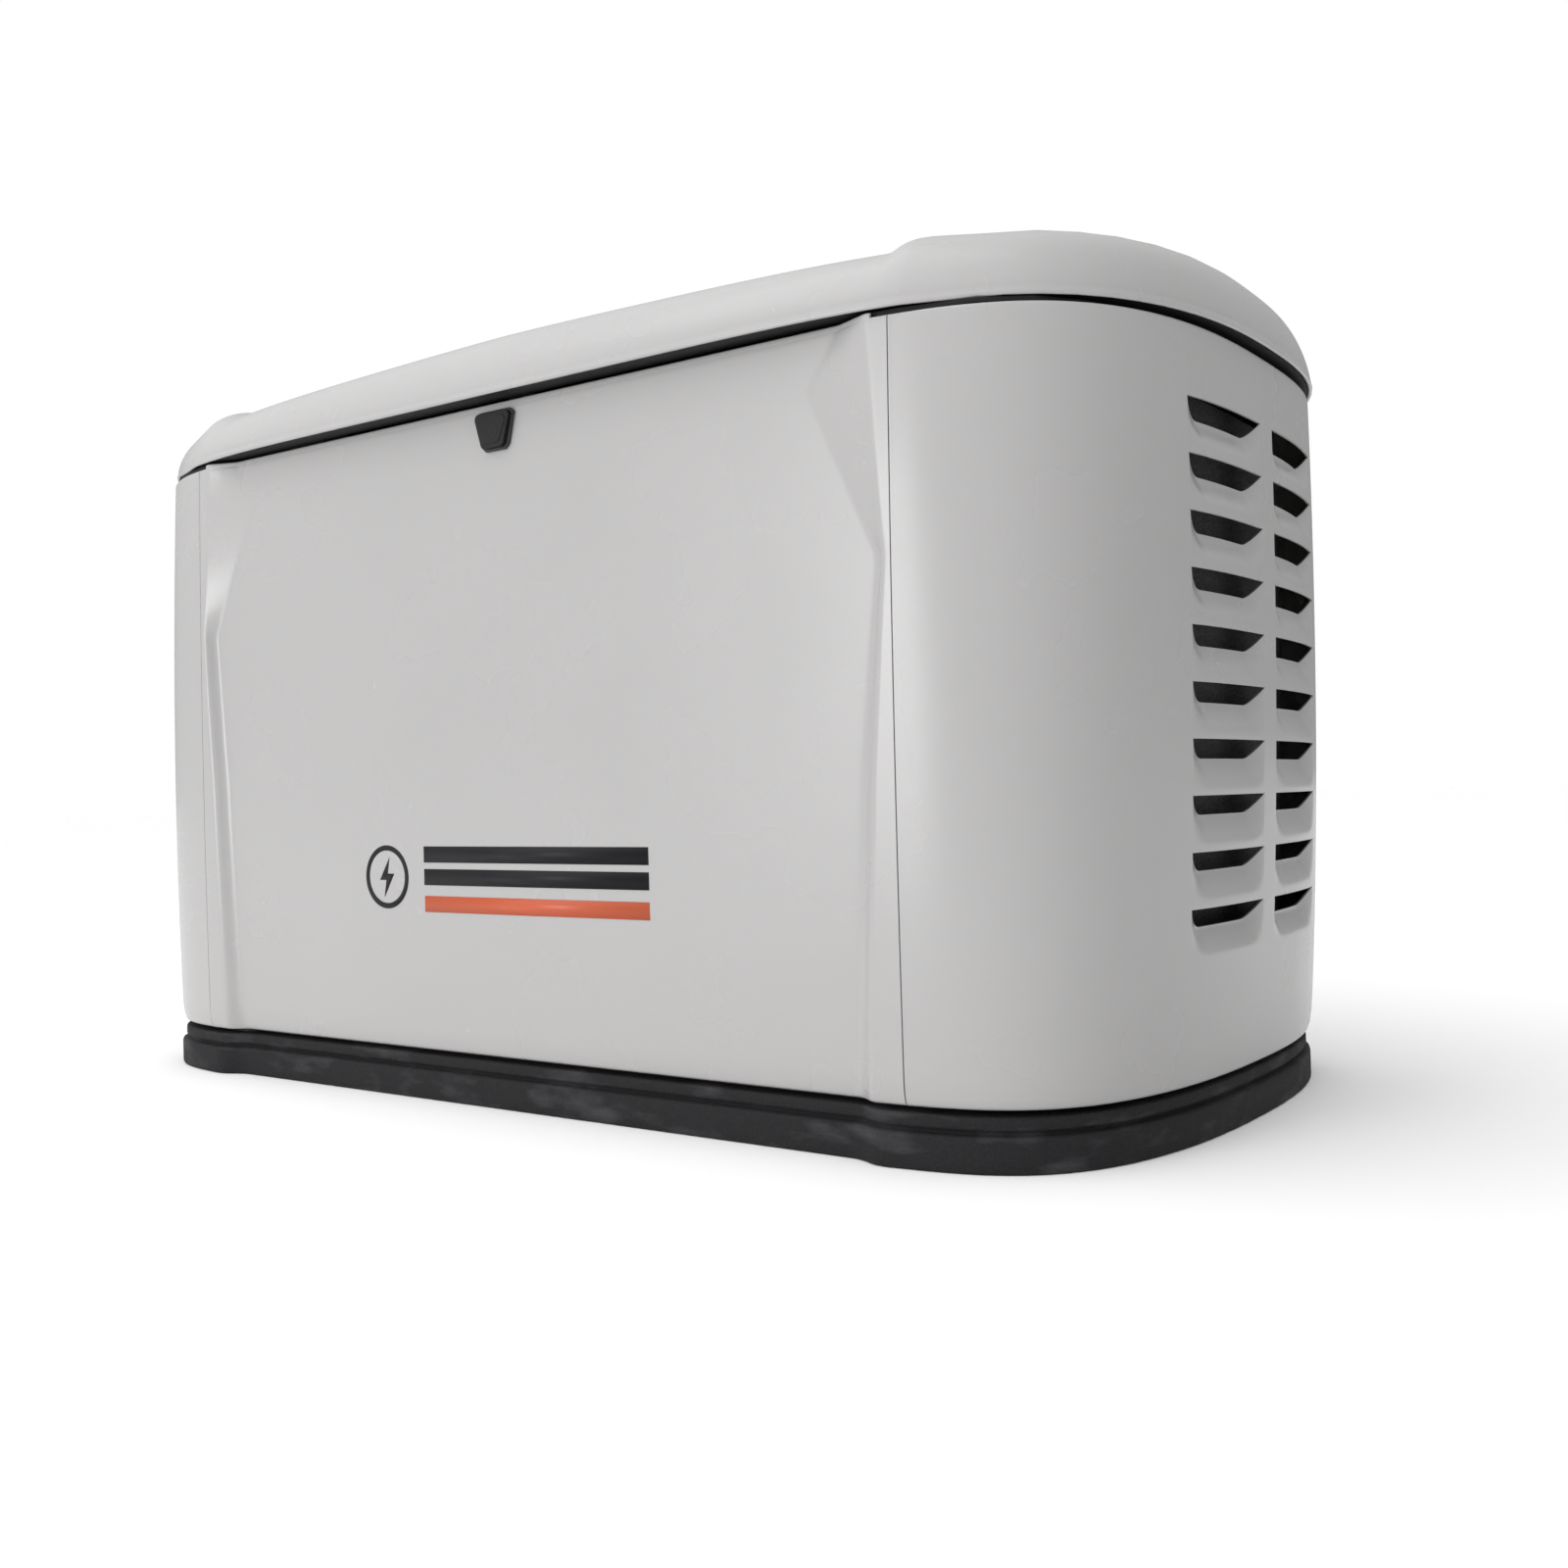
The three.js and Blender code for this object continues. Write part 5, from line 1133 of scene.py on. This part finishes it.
def engine_bolts():
    """Bolts on the blower housing, the bearing carrier and the valve covers."""
    bolts = Shape()
    blower_x = corners("blower_housing")[1][0] - 0.4
    for k in range(6):
        turn = math.pi / 6 + k * math.pi / 3
        bolts.bolt(round_crank(blower_x, BLOWER_BOLT_CIRCLE, turn), (1, 0, 0), 6)
    carrier_x = corners("bearing_carrier")[0][0] + 0.4
    for k in range(4):
        turn = math.pi / 4 + k * math.pi / 2
        bolts.bolt(round_crank(carrier_x, CARRIER_BOLT_CIRCLE, turn), (-1, 0, 0), 6)
    for node, side in (("valve_cover_front", -1), ("valve_cover_rear", 1)):
        low, high = corners(node)
        middle = (low + high) / 2
        for dx in (-28, 28):
            along = Vector((0, side, 1)).normalized()
            face = Vector((middle[0] + dx, middle[1], middle[2])) + along * 24
            bolts.bolt(tuple(face), tuple(along), 5)
    bolts.piece("engine_bolts", "chassis", "steel", rounding=0.3)


def air_cleaner_details():
    """The clips at the air cleaner's ends and the ribbed knob on its cover."""
    low, high = corners("air_cleaner_cover")
    mid_x, mid_y = (low[0] + high[0]) / 2, (low[1] + high[1]) / 2
    clips = Shape()
    for x in (low[0] - 2.4, high[0] + 0.4):
        clips.block((x, mid_y - 14, low[2] - 26), (x + 2, mid_y + 14, low[2] + 10))
    clips.piece("air_cleaner_clips", "chassis", "zinc", rounding=0.6)
    knob = Shape()
    centre = (mid_x, mid_y, high[2] - 0.4)
    knob.turned([(0, 0), (17, 0), (17, 1.5), (12, 3), (11, 12), (9, 14), (0, 14.4)], centre, (0, 0, 1), 48)
    for k in range(10):
        turn = k * math.pi / 5
        place = Vector(centre) + Vector((11 * math.cos(turn), 11 * math.sin(turn), 2.4))
        knob.rod(tuple(place), tuple(place + Vector((0, 0, 9.6))), 1.6, 12)
    knob.piece("air_cleaner_knob", "chassis", "black_plastic", rounding=0.4)


def plain_pieces():
    """The nodes that keep their CAD shape, with their edges rounded, and the smooth hoses."""
    for node, width in PLAIN_EDGES.items():
        refined(node, width, material=LAMINATED if node == "alternator_stator" else None)
    for node in ("fuel_hose", "battery_cable_positive", "battery_cable_negative"):
        refined(node, 0)


# ---- camera, light and floor ----
def make_camera():
    """The camera in the photo's place, turned by its yaw, pitch and roll."""
    yaw, pitch, roll = (math.radians(v) for v in (CAMERA_YAW, CAMERA_PITCH, CAMERA_ROLL))
    look = Vector((-math.sin(yaw) * math.cos(pitch), math.cos(yaw) * math.cos(pitch), math.sin(pitch)))
    right = look.cross(Vector((0, 0, 1))).normalized()
    up = right.cross(look)
    tilted_right = math.cos(roll) * right + math.sin(roll) * up
    tilted_up = math.cos(roll) * up - math.sin(roll) * right
    data = bpy.data.cameras.new("camera")
    data.sensor_width = 36
    data.lens = CAMERA_LENS
    camera = bpy.data.objects.new("camera", data)
    bpy.context.scene.collection.objects.link(camera)
    turn = Matrix((tilted_right, tilted_up, -look)).transposed().to_4x4()
    camera.matrix_world = Matrix.Translation(CAMERA_PLACE) @ turn
    bpy.context.scene.camera = camera


def softbox(name, place, size, power):
    """A large soft light aimed at the middle of the object."""
    data = bpy.data.lights.new(name, "AREA")
    data.size = size
    data.energy = power
    light = bpy.data.objects.new(name, data)
    light.location = place
    light.rotation_mode = "QUATERNION"
    light.rotation_quaternion = (Vector((0, 0, 0.35)) - Vector(place)).to_track_quat("-Z", "Y")
    bpy.context.scene.collection.objects.link(light)


def make_world():
    """A white studio: brightest overhead and towards the front left, and dimmer behind."""
    world = bpy.data.worlds.new("studio")
    world.use_nodes = True
    tree = world.node_tree
    way = add(tree, "ShaderNodeTexCoord").outputs["Generated"]
    front = add(tree, "ShaderNodeVectorMath", {0: way, 1: (-0.55, -0.83, 0)}, operation="DOT_PRODUCT")
    height = add(tree, "ShaderNodeSeparateXYZ", {"Vector": way}).outputs["Z"]
    around = ramp(tree, front.outputs["Value"], 0.34, 0.64, -0.4, 0.7)
    above = ramp(tree, height, 0.9, 3.2, 0.2, 1.0)
    light = add(tree, "ShaderNodeMath", {0: around, 1: above}, operation="MULTIPLY").outputs[0]
    seen = add(tree, "ShaderNodeLightPath").outputs["Is Camera Ray"]
    strength = add(tree, "ShaderNodeMix", {"Factor": seen, "A": light, "B": 1.0}).outputs["Result"]
    tree.links.new(strength, tree.nodes["Background"].inputs["Strength"])
    tree.nodes["Background"].inputs["Color"].default_value = (1, 1, 1, 1)
    bpy.context.scene.world = world


def make_studio():
    """The world, two soft lights and a white floor."""
    make_world()
    bpy.context.scene.view_settings.view_transform = "Standard"
    softbox("key_light", (-1.1, -4.2, 0.9), 1.6, 58)
    softbox("top_light", (-0.6, -1.0, 3.6), 2.6, 16)
    bpy.ops.mesh.primitive_circle_add(vertices=96, radius=40, fill_type="NGON", location=(0, 0, 0))
    floor = bpy.context.object
    floor.name = "floor"
    material, tree, shader = start_material("pale_floor", Specular_IOR_Level=0.0)
    tone = grown(tree, 0.6, 2).outputs["Fac"]
    color = blend_colors(tree, tone, (0.95, 0.95, 0.95), (0.97, 0.97, 0.97))
    finish_surface(tree, shader, color, ramp(tree, tone, 0.8, 0.9), bumps(tree, ((tone, 0.01 * MM, 0.1),)))
    floor.data.materials.append(material)


make_camera()
make_studio()
dress_nodes()
end_panel(-1, "left_end_panel")
end_panel(1, "right_end_panel")
front_panel()
front_bead()
roof_piece()
roof_gasket_and_painted_shade()
pad_piece()
lock_pieces()
mark_pieces()
louvre_baffles()
foam_liner()
rear_details()
panel_screws()
battery_details()
control_details()
engine_bolts()
air_cleaner_details()
plain_pieces()
